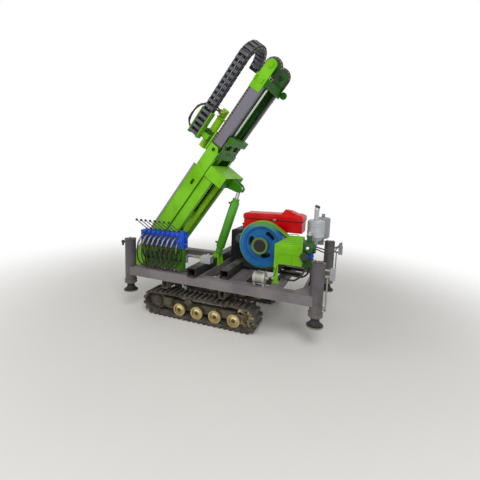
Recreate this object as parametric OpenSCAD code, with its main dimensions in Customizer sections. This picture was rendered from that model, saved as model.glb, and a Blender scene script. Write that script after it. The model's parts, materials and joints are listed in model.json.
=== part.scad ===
/* [Jacks] */
// Distance between the jack centres along the machine
jack_span_x = 2000; // [1900:10:2100]
// Distance between the jack centres across the machine
jack_span_y = 976; // [960:2:1000]
// Outer diameter of a jack's tube
jack_tube_d = 114; // [110:1:120]
// Wall of a jack tube
jack_wall = 9; // [7:0.5:11]
// Height of the top of the jack caps
jack_top_z = 805; // [790:1:820]
// Height of the underside of the jack collars
jack_collar_z = 316; // [306:1:326]
// Height of the collar band at a jack's lower end
jack_collar_h = 42; // [34:1:48]
// Diameter of a jack's rod
jack_rod_d = 76; // [70:1:80]
// Diameter of a jack's foot pad
foot_d = 150; // [130:1:170]
// Height of the underside of the retracted feet
foot_z = 226; // [210:1:240]
// Thickness of a foot pad
foot_t = 14; // [10:1:20]

/* [Chassis] */
// Height of the top of the side rails
rail_top_z = 508; // [500:1:516]
// Height of a side rail
rail_h = 92; // [84:1:100]
// Width of a side rail
rail_w = 100; // [90:1:108]
// Wall of the rails and cross tubes
tube_wall = 6; // [4:0.5:8]
// Running clearance round a rod or a shaft
run_fit = 0.05; // [0.02:0.01:0.1]
// Seat gap between curved faces
seat_gap = 0.3; // [0.2:0.05:0.5]

/* [Tracks] */
// Rear end of the tracks along the machine
track_x0 = -840; // [-860:5:-820]
// Front end of the tracks along the machine
track_x1 = 473; // [450:1:490]
// Height of the tracks to the lugs' tips
track_h = 277; // [270:1:284]
// Width of a track
track_w = 180; // [170:1:190]
// Outer face of a track from the middle of the machine
track_outer_y = 484; // [478:1:490]
// Height of a track's outer lugs
lug_h = 20; // [16:1:24]
// Thickness of the track's belt
belt_t = 14; // [12:1:18]
// Number of lugs round a track
lug_count = 48; // [40:1:54]
// Length of a lug along the track
lug_len = 30; // [26:1:34]
// Diameter of a road wheel
wheel_d = 136; // [130:1:140]
// Distance between road wheels
wheel_pitch = 205; // [198:1:206]
// Place of the first road wheel along the machine
wheel_x0 = -396; // [-403:1:-393]
// Number of road wheels on a side
wheel_count = 4; // [3:1:4]

/* [Mast] */
// Lean of the parked mast from upright
mast_lean = 36.5; // [34:0.5:38]
// Place of the tilt pin along the machine
pivot_x = -880; // [-883:1:-877]
// Height of the tilt pin
pivot_z = 560; // [550:1:570]
// Diameter of the tilt pin
pivot_pin_d = 40; // [36:1:44]
// Half width of the outer mast
outer_half_w = 250; // [245:1:256]
// Wall of the mast channels
mast_wall = 8; // [7:0.5:9]
// Width of the mast channels' flanges
flange_w = 50; // [44:1:56]
// Depth of the outer mast's channels
outer_depth = 130; // [126:1:134]
// Front face of the outer mast ahead of the tilt pin
outer_front = 195; // [191:1:199]
// Lower end of the outer mast below the tilt pin
outer_low = 288; // [270:1:290]
// Upper end of the outer mast above the tilt pin
outer_high = 1457; // [1440:1:1470]
// Sliding clearance between the mast sections
slide_gap = 6; // [5:0.5:7]
// Lower end of the inner mast above the tilt pin
inner_low = 560; // [550:1:580]
// Upper end of the inner mast's rails above the tilt pin
inner_high = 2250; // [2246:1:2254]
// Depth of the inner mast's channels
inner_depth = 100; // [96:1:102]
// Centre line of the slide cylinder behind the tilt pin
slide_x = 42; // [38:1:46]

/* [Head] */
// Distance of the drill axis ahead of the tilt pin
drill_front = 370; // [360:1:380]
// Height of the rotary gearbox's underside above the tilt pin
gearbox_low = 1400; // [1390:1:1410]
// Diameter of the head sprockets over their teeth
sprocket_d = 182; // [176:2:190]
// Number of teeth on a head sprocket
sprocket_teeth = 22; // [20:1:24]
// Height of the head's shaft above the tilt pin
head_shaft_z = 2370; // [2364:1:2376]

/* [Engine] */
// Place of the flywheel's shaft along the machine
fly_x = 387; // [377:1:397]
// Height of the flywheel's shaft
fly_z = 831; // [821:1:841]
// Diameter of the flywheel
fly_d = 460; // [440:1:480]
// Near face of the flywheel from the middle of the machine
fly_near_y = 190; // [180:1:200]
// Width of the flywheel's rim
fly_w = 90; // [86:1:94]
// Length of the fuel tank
tank_l = 645; // [635:5:655]
// Depth of the fuel tank
tank_w = 230; // [220:5:240]
// Height of the top of the engine block above the rails
engine_h = 442; // [436:1:448]

/* [Controls] */
// Number of sections in the valve bank
bank_count = 8; // [6:1:8]
// Distance between the valve bank's sections
bank_pitch = 58; // [56:1:60]
// Height of the valve bank's underside above the rails
bank_low = 248; // [242:1:254]
// Height of a valve section
bank_h = 162; // [156:1:168]

/* [Hidden] */
$fn = 48;

green = "limegreen";
grey = "dimgray";
jack_x = jack_span_x / 2;
jack_y = jack_span_y / 2;
jack_r = jack_tube_d / 2;
rail_bottom_z = rail_top_z - rail_h;
rail_in_y = jack_y - rail_w / 2;
rail_out_y = jack_y + rail_w / 2;
track_r = track_h / 2;
track_mid_y = track_outer_y - track_w / 2;
drive_x = track_x0 + track_r;
idler_x = track_x1 - track_r;
belt_in_r = track_r - lug_h - belt_t;
wheel_r = wheel_d / 2;
wheel_z = track_h / 2 - belt_in_r + wheel_r;
beam_half_w = 30;
cross_xs = [-530, wheel_x0 + 2.5 * wheel_pitch];
cross_w = 60;
outer_back = outer_front - outer_depth;
inner_front = outer_front - mast_wall - slide_gap;
inner_back = inner_front - inner_depth;
inner_half_w = outer_half_w - mast_wall - slide_gap;
tilt_front = outer_back - 11;
tilt_back = 50;
tilt_out_y = outer_half_w - 18;
tilt_in_y = tilt_out_y - 57;
tilt_high = 1142;
bracket_high = 1268;
eye_x = 272;
eye_z = 1213;
lower_eye = [-190, 0, 600];
// Cross members of the chassis: first edge along the machine and width
cross_members = [[-925, 80], [-240, 100], [0, 60], [150, 80], [560, 80], [860, 80]];
pulley_x = fly_x + 348;
guard_x0 = pulley_x - 169;
guard_x1 = pulley_x + 95;
pulley_z = rail_top_z + 280;
pulley_r = 74;
belt_h = 9;
// Place of the pump behind the guard
pump_z = rail_top_z + 292;
pump_y = -245;
pump_rise = 66;
belt_w = 14;
belt_gap = 8;
belt_count = 4;
engine_top_z = rail_top_z + engine_h;
// Places of the engine's parts along the machine
engine_x0 = fly_x - 237;
engine_x1 = fly_x + 173;
head_x1 = fly_x + 373;
engine_y0 = -60;
engine_y1 = 240;
mount_t = 30;
tank_x0 = engine_x0 - 30;
tank_y0 = -20;
pin_r = 15;
axle_r = 15;
shaft_r = 16;
lug_y = 34;
lug_t = 18;
pin_proud = 4;
post_y = tilt_out_y + 6;
post_t = 24;
wheel_in = 46;
wheel_out = 78;
idler_w = 44;
tooth_y = 24;
tooth_w = 9;
tooth_h = 24;
tooth_deep = 13;
chain_out_y = 176;
link_t = 4;
chain_end_z = 620;
bracket_back = 165;
slide_low = 400;
slide_lug_z = 290;
collar_half_w = outer_half_w - 35;
guide_web = 18;
strip_t = 19;
strip_high = 1175;
strip_joint_z = 577;
gusset_t = 6;
cross_tube_x = -253;
cross_tube_w = 90;
fly_shaft_r = 34;
fly_web_in = 30;
belt_y0 = -100;
lift_x = -(inner_front + inner_back) / 2;
lift_r = 35;
rod_r = 18;
sprocket_y = 165;
sprocket_t = 12;
head_low = 2110;
head_step = 2184;
collar_high = 1615;
chain_half = 52;
chain_x = -438;
chain_low = 1385;
chain_top = 2282;
chain_r = 180;
chain_mid_y = -20;
chain_t = 60;
trough_t = 8;
trough_gap = 6;
head_shaft = [-135, head_shaft_z];
guide_in = 100;
guide_out = 130;
guide_proud = 44;
bank_x0 = 132 - jack_x;
bank_y = -450;
bank_z = rail_top_z + bank_low;
bank_l = bank_count * bank_pitch;

// Places a piece of the mast, modelled upright about its tilt pin
module on_mast() {
  translate([pivot_x, 0, pivot_z]) rotate([0, mast_lean, 0]) children();
}

// Runs its children near and far, mirrored about the middle plane
module both_sides() {
  for (side = [0, 1]) mirror([0, side, 0]) children();
}

// Turns its children's upright axis so that it points from one point to another
module along(a, b) {
  d = b - a;
  translate(a) rotate([0, acos(d.z / norm(d)), atan2(d.y, d.x)]) children();
}

// Round bar from one point to another
module bar(a, b, r) {
  along(a, b) cylinder(h = norm(b - a), r = r);
}

// Box between two corners
module box(a, b) {
  translate(a) cube(b - a);
}

// Points of a band drawn tight round two circles, in n flats round each; the flats stay outside the circles
function arc_points(c, r, from, to, n) =
  let (step = (to - from) / n)
  [for (k = [0:n - 1]) c + r / cos(step / 2) * [cos(from + (k + 0.5) * step), sin(from + (k + 0.5) * step)]];
module round_band(a, ra, b, rb, n = 20) {
  d = b - a;
  turn = atan2(d.y, d.x);
  tilt = acos((ra - rb) / norm(d));
  polygon(concat(arc_points(a, ra, turn + tilt, turn + 360 - tilt, n), arc_points(b, rb, turn - tilt, turn + tilt, n)));
}

// Plate in the XZ plane, from a list of points, between two y values
module plate_y(points, y0, y1) {
  translate([0, y1, 0]) rotate([90, 0, 0]) linear_extrude(y1 - y0) polygon(points);
}

// Plate in the YZ plane, from a list of points, between two x values
module plate_x(points, x0, x1) {
  translate([x0, 0, 0]) rotate([90, 0, 90]) linear_extrude(x1 - x0) polygon(points);
}

// Square tube along X
module tube_x(x0, x1, y0, y1, z0, z1) {
  difference() {
    box([x0, y0, z0], [x1, y1, z1]);
    box([x0 - 1, y0 + tube_wall, z0 + tube_wall], [x1 + 1, y1 - tube_wall, z1 - tube_wall]);
  }
}

// Square tube along Y
module tube_y(x0, x1, y0, y1, z0, z1) {
  difference() {
    box([x0, y0, z0], [x1, y1, z1]);
    box([x0 + tube_wall, y0 - 1, z0 + tube_wall], [x1 - tube_wall, y1 + 1, z1 - tube_wall]);
  }
}

module main_frame() {
  color("#5d5a63") {
    both_sides() difference() {
      tube_x(-jack_x, jack_x, -rail_out_y, -rail_in_y, rail_bottom_z, rail_top_z);
      for (x = [-jack_x, jack_x])
        translate([x, -jack_y, rail_bottom_z - 1]) cylinder(h = rail_h + 2, r = jack_r + seat_gap);
    }
    for (c = cross_members) tube_y(c[0], c[0] + c[1], -rail_in_y, rail_in_y, rail_bottom_z, rail_top_z);
    // Gussets between the rails and the end members
    for (sx = [-1, 1], sy = [-1, 1]) scale_corner(sx, sy)
      translate([jack_x - 190, jack_y - rail_w / 2 - 95, rail_top_z - gusset_t]) linear_extrude(gusset_t)
        polygon([[0, 96], [0, 70], [50, 0], [76, 0], [76, 96]]);
  }
}

// Mirrors its children into the corner given by two signs
module scale_corner(sx, sy) {
  mirror([sx < 0 ? 1 : 0, 0, 0]) mirror([0, sy < 0 ? 1 : 0, 0]) children();
}

module pivot_posts() {
  color("#2c2f2e") {
    both_sides() {
      difference() {
        plate_y([[pivot_x - 45, rail_top_z], [pivot_x + 100, rail_top_z], [pivot_x + 45, pivot_z + 20],
          [pivot_x + 18, pivot_z + 44], [pivot_x - 18, pivot_z + 44], [pivot_x - 42, pivot_z + 20]],
          -post_y - post_t, -post_y);
        translate([pivot_x, -post_y + 1, pivot_z]) rotate([90, 0, 0]) cylinder(h = post_t + 2, r = pivot_pin_d / 2);
      }
      // Rib that holds the plate upright
      plate_x([[-post_y - post_t, rail_top_z], [-post_y - post_t - 70, rail_top_z], [-post_y - post_t, pivot_z - 14]],
        pivot_x + 20, pivot_x + 32);
    }
    translate([pivot_x, post_y + post_t + 6, pivot_z]) rotate([90, 0, 0])
      cylinder(h = 2 * (post_y + post_t + 6), r = pivot_pin_d / 2);
  }
}

module tilt_lug() {
  color(green) difference() {
    for (y = [-lug_y - lug_t, lug_y])
      plate_y([[lower_eye.x - 62, rail_top_z], [lower_eye.x + 60, rail_top_z], [lower_eye.x + 40, lower_eye.z + 20],
        [lower_eye.x + 15, lower_eye.z + 42], [lower_eye.x - 15, lower_eye.z + 42],
        [lower_eye.x - 40, lower_eye.z + 20]], y, y + lug_t);
    translate([lower_eye.x, 100, lower_eye.z]) rotate([90, 0, 0]) cylinder(h = 200, r = pin_r);
  }
  color("#2c2f2e") translate([lower_eye.x, lug_y + lug_t + pin_proud, lower_eye.z]) rotate([90, 0, 0])
    cylinder(h = 2 * (lug_y + lug_t + pin_proud), r = pin_r);
}

module jack_barrels() {
  cap_t = 8;
  gland_gap = 30;
  color(grey) for (x = [-jack_x, jack_x], y = [-jack_y, jack_y]) translate([x, y, 0]) {
    difference() {
      union() {
        translate([0, 0, jack_collar_z]) cylinder(h = jack_top_z - cap_t - jack_collar_z, r = jack_r);
        translate([0, 0, jack_collar_z]) cylinder(h = 10, r = jack_r + 3);
        translate([0, 0, jack_collar_z + 10]) cylinder(h = jack_collar_h - 10, r = jack_r + 6);
      }
      translate([0, 0, jack_collar_z - 1]) cylinder(h = jack_top_z - jack_collar_z - gland_gap, r = jack_r - jack_wall);
    }
    translate([0, 0, jack_top_z - cap_t]) cylinder(h = cap_t, r = jack_r + 4);
    translate([0, 0, jack_top_z]) cylinder(h = 6, r = jack_r - 22);
    difference() {
      translate([0, 0, jack_collar_z]) cylinder(h = jack_collar_h, r = jack_r - jack_wall + 0.5);
      translate([0, 0, jack_collar_z - 1]) cylinder(h = jack_collar_h + 2, r = jack_rod_d / 2 + run_fit);
    }
  }
}

module jack_lock_valves() {
  // At the engine end: block off the tube, held by a short pipe above and a long pipe below
  block = [44, 50, 96];
  stand = 44;
  pipe_r = 7;
  low = 400;
  color("#8f8f8c") for (sy = [-1, 1]) translate([jack_x, sy * jack_y, 0]) {
    translate([jack_r + stand, -block.y / 2, 668]) cube(block);
    translate([jack_r + stand - 14, 0, 690]) rotate([0, 90, 0]) cylinder(h = 16, r = 10);
    translate([jack_r + 24, 0, low]) cylinder(h = 290, r = pipe_r);
    translate([jack_r + 24, 0, 690]) sphere(r = 11);
    for (z = [low, 745]) translate([jack_r + seat_gap, 0, z]) rotate([0, 90, 0])
      cylinder(h = z == low ? 24 : stand + 2, r = z == low ? pipe_r : 9);
    translate([jack_r + 24, 0, low]) sphere(r = pipe_r + 2);
    translate([jack_r + seat_gap, -12, low - 14]) cube([14, 24, 28]);
  }
  // At the mast end: elbow on the tube
  color("#2b2b2b") for (sy = [-1, 1]) translate([-jack_x, sy * jack_y, 0]) {
    translate([-jack_r - 46, 0, 762]) rotate([0, 90, 0]) cylinder(h = 46 - seat_gap, r = 15);
    translate([-jack_r - 46, 0, 762]) sphere(r = 17);
    translate([-jack_r - 46, 0, 720]) cylinder(h = 42, r = 11);
  }
}

module jack_leg(x, y) {
  color(grey) translate([x, y, 0]) {
    translate([0, 0, foot_z + foot_t]) cylinder(h = 480, r = jack_rod_d / 2);
    translate([0, 0, foot_z]) cylinder(h = foot_t, r = foot_d / 2);
    translate([0, 0, foot_z + foot_t]) cylinder(h = 10, r = foot_d / 2 - 12);
    translate([0, 0, foot_z + foot_t]) cylinder(h = 45, r1 = 58, r2 = jack_rod_d / 2);
  }
}

module jack_leg_near_mast() { jack_leg(-jack_x, -jack_y); }
module jack_leg_near_engine() { jack_leg(jack_x, -jack_y); }
module jack_leg_far_mast() { jack_leg(-jack_x, jack_y); }
module jack_leg_far_engine() { jack_leg(jack_x, jack_y); }

module track_frames() {
  beam_low = 90;
  beam_high = 176;
  fork_in = 34;
  fork_t = 12;
  reach = 110;
  color("#3f413b") {
    both_sides() {
      box([drive_x + reach, -track_mid_y - beam_half_w, beam_low], [idler_x - reach, -track_mid_y + beam_half_w, beam_high]);
      box([drive_x - 45, -track_mid_y + 50, 95], [drive_x + 140, -track_mid_y + 62, 182]);
      box([drive_x + reach, -track_mid_y + beam_half_w - 1, 95], [drive_x + 140, -track_mid_y + 62, beam_high]);
      // Fork of the idler
      for (y = [-fork_in - fork_t, fork_in])
        box([idler_x - reach - 8, -track_mid_y + y, 110], [idler_x + 20, -track_mid_y + y + fork_t, 167]);
      box([idler_x - reach - 20, -track_mid_y - fork_in - fork_t, 110], [idler_x - reach + 2, -track_mid_y + fork_in + fork_t, 167]);
      // Axles
      translate([idler_x, -track_mid_y + fork_in + fork_t + 4, track_r]) rotate([90, 0, 0])
        cylinder(h = 2 * (fork_in + fork_t + 4), r = axle_r);
      translate([drive_x, -track_mid_y + 50, track_r]) rotate([90, 0, 0]) cylinder(h = 70, r = 20);
      for (k = [0:wheel_count - 1])
        translate([wheel_x0 + k * wheel_pitch, -track_mid_y + wheel_out, wheel_z]) rotate([90, 0, 0])
          cylinder(h = 2 * wheel_out, r = axle_r);
      for (x = cross_xs) {
        box([x - cross_w / 2, -track_mid_y + beam_half_w - 1, beam_low], [x + cross_w / 2, -240, beam_high]);
        box([x - cross_w / 2, -296, beam_high - 1], [x + cross_w / 2, -240, rail_bottom_z - 79]);
      }
      // Guard plate over the motor's end of the beam
      box([drive_x + 120, -track_mid_y - 86, 112], [wheel_x0 - wheel_r - 8, -track_mid_y - beam_half_w + 1, 122]);
    }
    for (x = cross_xs) tube_y(x - cross_w / 2, x + cross_w / 2, -rail_out_y, rail_out_y, rail_bottom_z - 80, rail_bottom_z);
  }
}

// Point on the track's loop: s is the distance run, r the distance out from the end centres
function loop_len(r) = 2 * (idler_x - drive_x) + 2 * PI * r;
function loop_point(s, r, r0) =
  let (l = idler_x - drive_x, a = PI * r0)
  s < l ? [drive_x + s, track_r - r] :
  s < l + a ? [idler_x + r * sin((s - l) / r0 * 180 / PI), track_r - r * cos((s - l) / r0 * 180 / PI)] :
  s < 2 * l + a ? [idler_x - (s - l - a), track_r + r] :
  [drive_x - r * sin((s - 2 * l - a) / r0 * 180 / PI), track_r + r * cos((s - 2 * l - a) / r0 * 180 / PI)];

module track_loop() {
  r_belt = track_r - lug_h;
  pitch = loop_len(r_belt) / lug_count;
  outline = [for (k = [0:lug_count - 1], e = [[0, 0], [0.08, 1], [0.92, 1], [1, 0]])
    loop_point((k * pitch + e[0] * lug_len) % loop_len(r_belt), r_belt + e[1] * lug_h, r_belt)];
  translate([0, -track_mid_y + track_w / 2, 0]) rotate([90, 0, 0]) linear_extrude(track_w) difference() {
    polygon(outline);
    round_band([drive_x, track_r], belt_in_r, [idler_x, track_r], belt_in_r);
  }
  // Two rows of guide teeth on the inner side
  in_pitch = loop_len(belt_in_r) / lug_count;
  teeth = [for (k = [0:lug_count - 1], e = [[0.3, 0], [0.5, 1], [0.7, 0]])
    loop_point((k * in_pitch + e[0] * in_pitch) % loop_len(belt_in_r), belt_in_r + 1 - e[1] * tooth_h, belt_in_r)];
  for (y = [-tooth_y - tooth_w, tooth_y])
    translate([0, -track_mid_y - y, 0]) rotate([90, 0, 0]) linear_extrude(tooth_w) difference() {
      round_band([drive_x, track_r], belt_in_r + 2, [idler_x, track_r], belt_in_r + 2);
      polygon(teeth);
    }
}

module track_near() { color("#2b2b2b") track_loop(); }
module track_far() { color("#2b2b2b") mirror([0, 1, 0]) track_loop(); }

module drive_sprockets() {
  color("#3a3a38") both_sides() translate([drive_x, -track_mid_y, track_r]) rotate([90, 0, 0]) difference() {
    union() {
      translate([0, 0, -45]) cylinder(h = 75, r = 60);
      translate([0, 0, -16]) linear_extrude(32) polygon([for (k = [0:15], e = [[0.1, -14], [0.3, 0], [0.7, 0], [0.9, -14]])
        (belt_in_r - 1 + e[1]) * [cos((k + e[0]) * 22.5), sin((k + e[0]) * 22.5)]]);
    }
    translate([0, 0, -51]) cylinder(h = 71, r = 20 + run_fit);
  }
}

module idler_wheels() {
  color("#a59a5a") both_sides() translate([idler_x, -track_mid_y + idler_w / 2, track_r]) rotate([90, 0, 0]) difference() {
    union() {
      difference() {
        cylinder(h = idler_w, r = belt_in_r - 1);
        translate([0, 0, -1]) cylinder(h = idler_w + 2, r = belt_in_r - 18);
      }
      cylinder(h = idler_w, r = 34);
      for (k = [0:4]) rotate(k * 72) translate([20, -9, idler_w / 2 - 14]) cube([belt_in_r - 32, 18, 28]);
    }
    translate([0, 0, -1]) cylinder(h = idler_w + 2, r = axle_r + run_fit);
  }
}

module road_wheels() {
  color("#c2ad57") both_sides() for (k = [0:wheel_count - 1], m = [0, 1])
    translate([wheel_x0 + k * wheel_pitch, -track_mid_y, wheel_z]) mirror([0, m, 0])
      translate([0, -wheel_in, 0]) rotate([90, 0, 0]) difference() {
        union() {
          difference() {
            cylinder(h = wheel_out - wheel_in, r = wheel_r - seat_gap);
            translate([0, 0, wheel_out - wheel_in - 12]) cylinder(h = 13, r = wheel_r - 16);
          }
          cylinder(h = wheel_out - wheel_in, r = 26);
        }
        translate([0, 0, -1]) cylinder(h = wheel_out - wheel_in + 2, r = axle_r + run_fit);
      }
}

module carrier_rollers() {
  roller_x = -290;
  roller_r = 37;
  roller_z = track_h - lug_h - belt_t - roller_r - 1;
  color("#55564f") both_sides() {
    translate([roller_x, -track_mid_y - tooth_y - tooth_w - 6, roller_z]) rotate([90, 0, 0]) cylinder(h = 38, r = roller_r);
    translate([roller_x, -track_mid_y - 20, roller_z]) rotate([90, 0, 0]) cylinder(h = 24, r = 12);
    box([roller_x - 18, -track_mid_y - 28, 176], [roller_x + 18, -track_mid_y - 16, roller_z + 6]);
  }
}

module travel_motors() {
  color("#6f7250") both_sides() {
    box([drive_x + 112, -track_mid_y - 80, 122], [drive_x + 212, -track_mid_y - beam_half_w, 196]);
    translate([drive_x, -track_mid_y + 130, track_r]) rotate([90, 0, 0]) cylinder(h = 68, r = 52);
    translate([drive_x, -track_mid_y + 158, track_r]) rotate([90, 0, 0]) cylinder(h = 30, r = 34);
  }
}

module engine_block() {
  base_z = rail_top_z + mount_t;
  color("#3b4a52") {
    box([engine_x0, engine_y0, base_z], [engine_x1, engine_y1, engine_top_z]);
    // Cylinder and its head, towards the engine end
    box([engine_x1 - 1, 0, base_z + 100], [head_x1 - 60, 180, engine_top_z - 80]);
    box([head_x1 - 61, -20, base_z + 84], [head_x1, 200, engine_top_z - 66]);
    box([head_x1 - 1, 20, base_z + 110], [head_x1 + 34, 160, engine_top_z - 90]);
    // Side covers of the crankcase
    translate([fly_x, engine_y1 - 1, fly_z - 10]) rotate([-90, 0, 0]) cylinder(h = 26, r = 125);
    box([engine_x0 + 30, engine_y1 - 1, base_z + 30], [fly_x - 110, engine_y1 + 20, engine_top_z - 150]);
    box([fly_x + 40, engine_y1 - 1, base_z + 20], [engine_x1 - 20, engine_y1 + 34, base_z + 170]);
    // Crankshaft out to the flywheel
    translate([fly_x, engine_y0 + 1, fly_z]) rotate([90, 0, 0])
      cylinder(h = fly_near_y + engine_y0 + 1 - fly_web_in, r = fly_shaft_r - run_fit);
    // Lamp and oil filler at the mast end
    translate([engine_x0 - 44, engine_y0 + 40, fly_z + 20]) rotate([90, 0, 0]) cylinder(h = 70, r = 44);
    box([engine_x0 - 40, engine_y0, fly_z], [engine_x0 + 1, engine_y0 + 36, fly_z + 40]);
    translate([engine_x0 + 1, 60, fly_z + 60]) rotate([0, -90, 0]) cylinder(h = 40, r = 36);
  }
}

module engine_mounts() {
  color("#2c2f2e") for (y = [engine_y0 + 30, engine_y1 - 80]) difference() {
    box([engine_x0, y, rail_top_z], [head_x1 + 20, y + 50, rail_top_z + mount_t]);
    box([engine_x0 - 1, y + 6, rail_top_z + 6], [head_x1 + 21, y + 51, rail_top_z + mount_t - 6]);
  }
}

module fuel_tank() {
  x0 = tank_x0;
  x1 = tank_x0 + tank_l;
  y0 = tank_y0;
  y1 = tank_y0 + tank_w;
  lip = 7;
  crease_z = engine_top_z + 122;
  low_top = crease_z + 40;
  high_top = crease_z + 66;
  color("red") {
    box([x0 + lip, y0 + lip, engine_top_z], [x1 - lip, y1 - lip, crease_z + 1]);
    // Lid, higher towards the engine end, with bevelled edges
    intersection() {
      plate_y([[x0, crease_z], [x1, crease_z], [x1, high_top - 20], [x1 - 40, high_top], [x0 + 20, low_top + 12],
        [x0, low_top]], y0, y1);
      plate_x([[y0, crease_z], [y1, crease_z], [y1, low_top - 6], [y1 - 40, high_top + 20], [y0 + 40, high_top + 20],
        [y0, low_top - 6]], x0 - 1, x1 + 1);
    }
    // Raised cover over the filler
    intersection() {
      plate_y([[x1 - 240, high_top - 30], [x1 - 60, high_top - 30], [x1 - 74, high_top], [x1 - 150, high_top + 34],
        [x1 - 205, high_top + 40], [x1 - 228, high_top + 4]], y0 + 40, y1 - 40);
      plate_x([[y0 + 40, high_top - 31], [y1 - 40, high_top - 31], [y1 - 44, high_top + 6], [y1 - 76, high_top + 44],
        [y0 + 76, high_top + 44], [y0 + 44, high_top + 6]], x1 - 250, x1 - 50);
    }
  }
}

module air_cleaner() {
  r = 84;
  foot = engine_top_z - 112;
  color("silver") translate([head_x1 + 132, 20, 0]) {
    translate([0, 0, 936]) cylinder(h = 45, r = r);
    translate([0, 0, 981]) cylinder(h = 5, r = r + 4);
    translate([0, 0, 986]) cylinder(h = 104, r = r);
    translate([0, 0, 1090]) cylinder(h = 12, r1 = r, r2 = r - 12);
    translate([0, 0, 896]) cylinder(h = 40, r1 = 62, r2 = r);
    translate([0, 0, 1102]) cylinder(h = 106, r = 23);
    translate([0, 0, 1206]) cylinder(h = 26, r1 = 27, r2 = 21);
    translate([0, 0, foot]) cylinder(h = 60, r = 26);
    box([34 - 132, -16, foot], [24, 16, foot + 34]);
  }
}

module muffler() {
  foot = engine_top_z - 132;
  color("silver") translate([head_x1 + 175, 240, 0]) {
    translate([0, 0, 900]) cylinder(h = 196, r = 76);
    translate([0, 0, 1096]) cylinder(h = 10, r1 = 76, r2 = 62);
    translate([0, 0, 1105]) cylinder(h = 40, r = 18);
    translate([0, 0, 886]) cylinder(h = 15, r1 = 60, r2 = 76);
    translate([0, 0, foot - 6]) cylinder(h = 78, r = 24);
    box([seat_gap - 175, -60, foot], [22, 16 - 60 + 20, foot + 34]);
    box([-30, -60, foot], [22, 16, foot + 34]);
  }
}

module belt_guard() {
  x0 = guard_x0;
  x1 = guard_x1;
  y0 = -338;
  t = 8;
  low = rail_top_z + 194;
  high = rail_top_z + 384;
  rise = 20;
  color(green) {
    box([x0, y0, low], [x1, y0 + t, high]);
    box([x0, y0, rail_top_z], [x0 + 42, y0 + t, low + 1]);
    box([x0, y0, rail_top_z], [x0 + t, y0 + 40, low + 1]);
    box([x0 - 12, y0 - 4, rail_top_z], [x0 + 54, y0 + 50, rail_top_z + 8]);
    box([x1 - t, y0, low], [x1, y0 + 18 - seat_gap, high - 1]);
    // Top plate, rising towards the engine, with its ribs
    translate([0, y0, high]) rotate([rise, 0, 0]) translate([0, -y0, -high]) {
      translate([0, 0, high - t]) linear_extrude(t)
        polygon([[x0, y0], [x1, y0], [x1 - 26, y0 + 186], [x0 + 120, y0 + 186]]);
      for (k = [0:4]) box([x0 + 26 + k * 22, y0 + 20 + k * 36, high - 1], [x1 - 14 - k * 5, y0 + 32 + k * 36, high + 5]);
    }
    // Raised line on the front face
    box([x0 + 40, y0 - 4, high - 92], [x1 - 6, y0 + 1, high - 86]);
    box([x0 + 164, y0 - 4, low + 6], [x0 + 170, y0 + 1, high - 88]);
    box([x0 + 30, y0 - 4, low], [x0 + 36, y0 + 1, high - 110]);
  }
}

module pump_set() {
  x0 = guard_x1;
  axis_z = pump_z + pump_rise;
  color("#2f4a34") {
    // Belt pulley and its shaft
    translate([pulley_x, belt_y0 + 12, pulley_z]) rotate([90, 0, 0]) cylinder(h = (belt_count * (belt_w + belt_gap)) + 20, r = pulley_r - seat_gap);
    translate([pulley_x, belt_y0 + 12, pulley_z]) rotate([90, 0, 0]) cylinder(h = 140, r = 25);
    box([pulley_x - 40, -320, pulley_z - 44], [x0 + 1, -215, pulley_z + 44]);
    // Body with its flange, cover and ports
    box([x0, -320, pump_z - 40], [x0 + 40, -170, pump_z + 120]);
    translate([x0 + 1, pump_y, axis_z]) rotate([0, 90, 0]) cylinder(h = 88, r = 62);
    translate([x0 + 88, pump_y, axis_z]) rotate([0, 90, 0]) cylinder(h = 20, r = 44);
    translate([x0 + 44, pump_y, axis_z + 40]) cylinder(h = 66, r = 24);
    translate([x0 + 44, pump_y, axis_z + 106]) cylinder(h = 14, r = 30);
    translate([x0 + 60, -300, axis_z - 10]) rotate([90, 0, 0]) cylinder(h = 34, r = 26);
    box([x0 + 6, -290, pump_z - 110], [x0 + 90, -200, pump_z - 39]);
  }
  // Round knob in front
  color("#1a1a1a") {
    translate([x0 + 20, -319, pump_z + 4]) rotate([90, 0, 0]) cylinder(h = 26, r = 14);
    translate([x0 + 20, -344, pump_z + 4]) rotate([90, 0, 0]) cylinder(h = 20, r = 36);
  }
}

module v_belts() {
  color("#5b8f2a") for (k = [0:belt_count - 1]) translate([0, belt_y0 - k * (belt_w + belt_gap), 0])
    rotate([90, 0, 0]) linear_extrude(belt_w) difference() {
      round_band([fly_x, fly_z], fly_d / 2 + seat_gap + belt_h, [pulley_x, pulley_z], pulley_r + belt_h);
      round_band([fly_x, fly_z], fly_d / 2 + seat_gap, [pulley_x, pulley_z], pulley_r);
    }
}

module oil_tank() {
  x0 = -60;
  x1 = 96;
  y0 = 100;
  y1 = 420;
  top = rail_top_z + 392;
  color("#2b2d2c") {
    box([x0, y0, rail_top_z], [x1, y1, top]);
    box([x0 + 20, y0 + 30, top - 1], [x1 - 20, y0 + 150, top + 8]);
    translate([x0 + 78, y1 - 80, top - 1]) cylinder(h = 40, r = 30);
    translate([x0 + 78, y1 - 80, top + 38]) cylinder(h = 16, r = 38);
    // Sight glass and return filter
    box([x0 + 60, y0 - 10, top - 220], [x0 + 84, y0 + 1, top - 90]);
    translate([x0 - 1, y1 - 90, top - 70]) rotate([0, 90, 0]) cylinder(h = 2, r = 30);
  }
}

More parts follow.
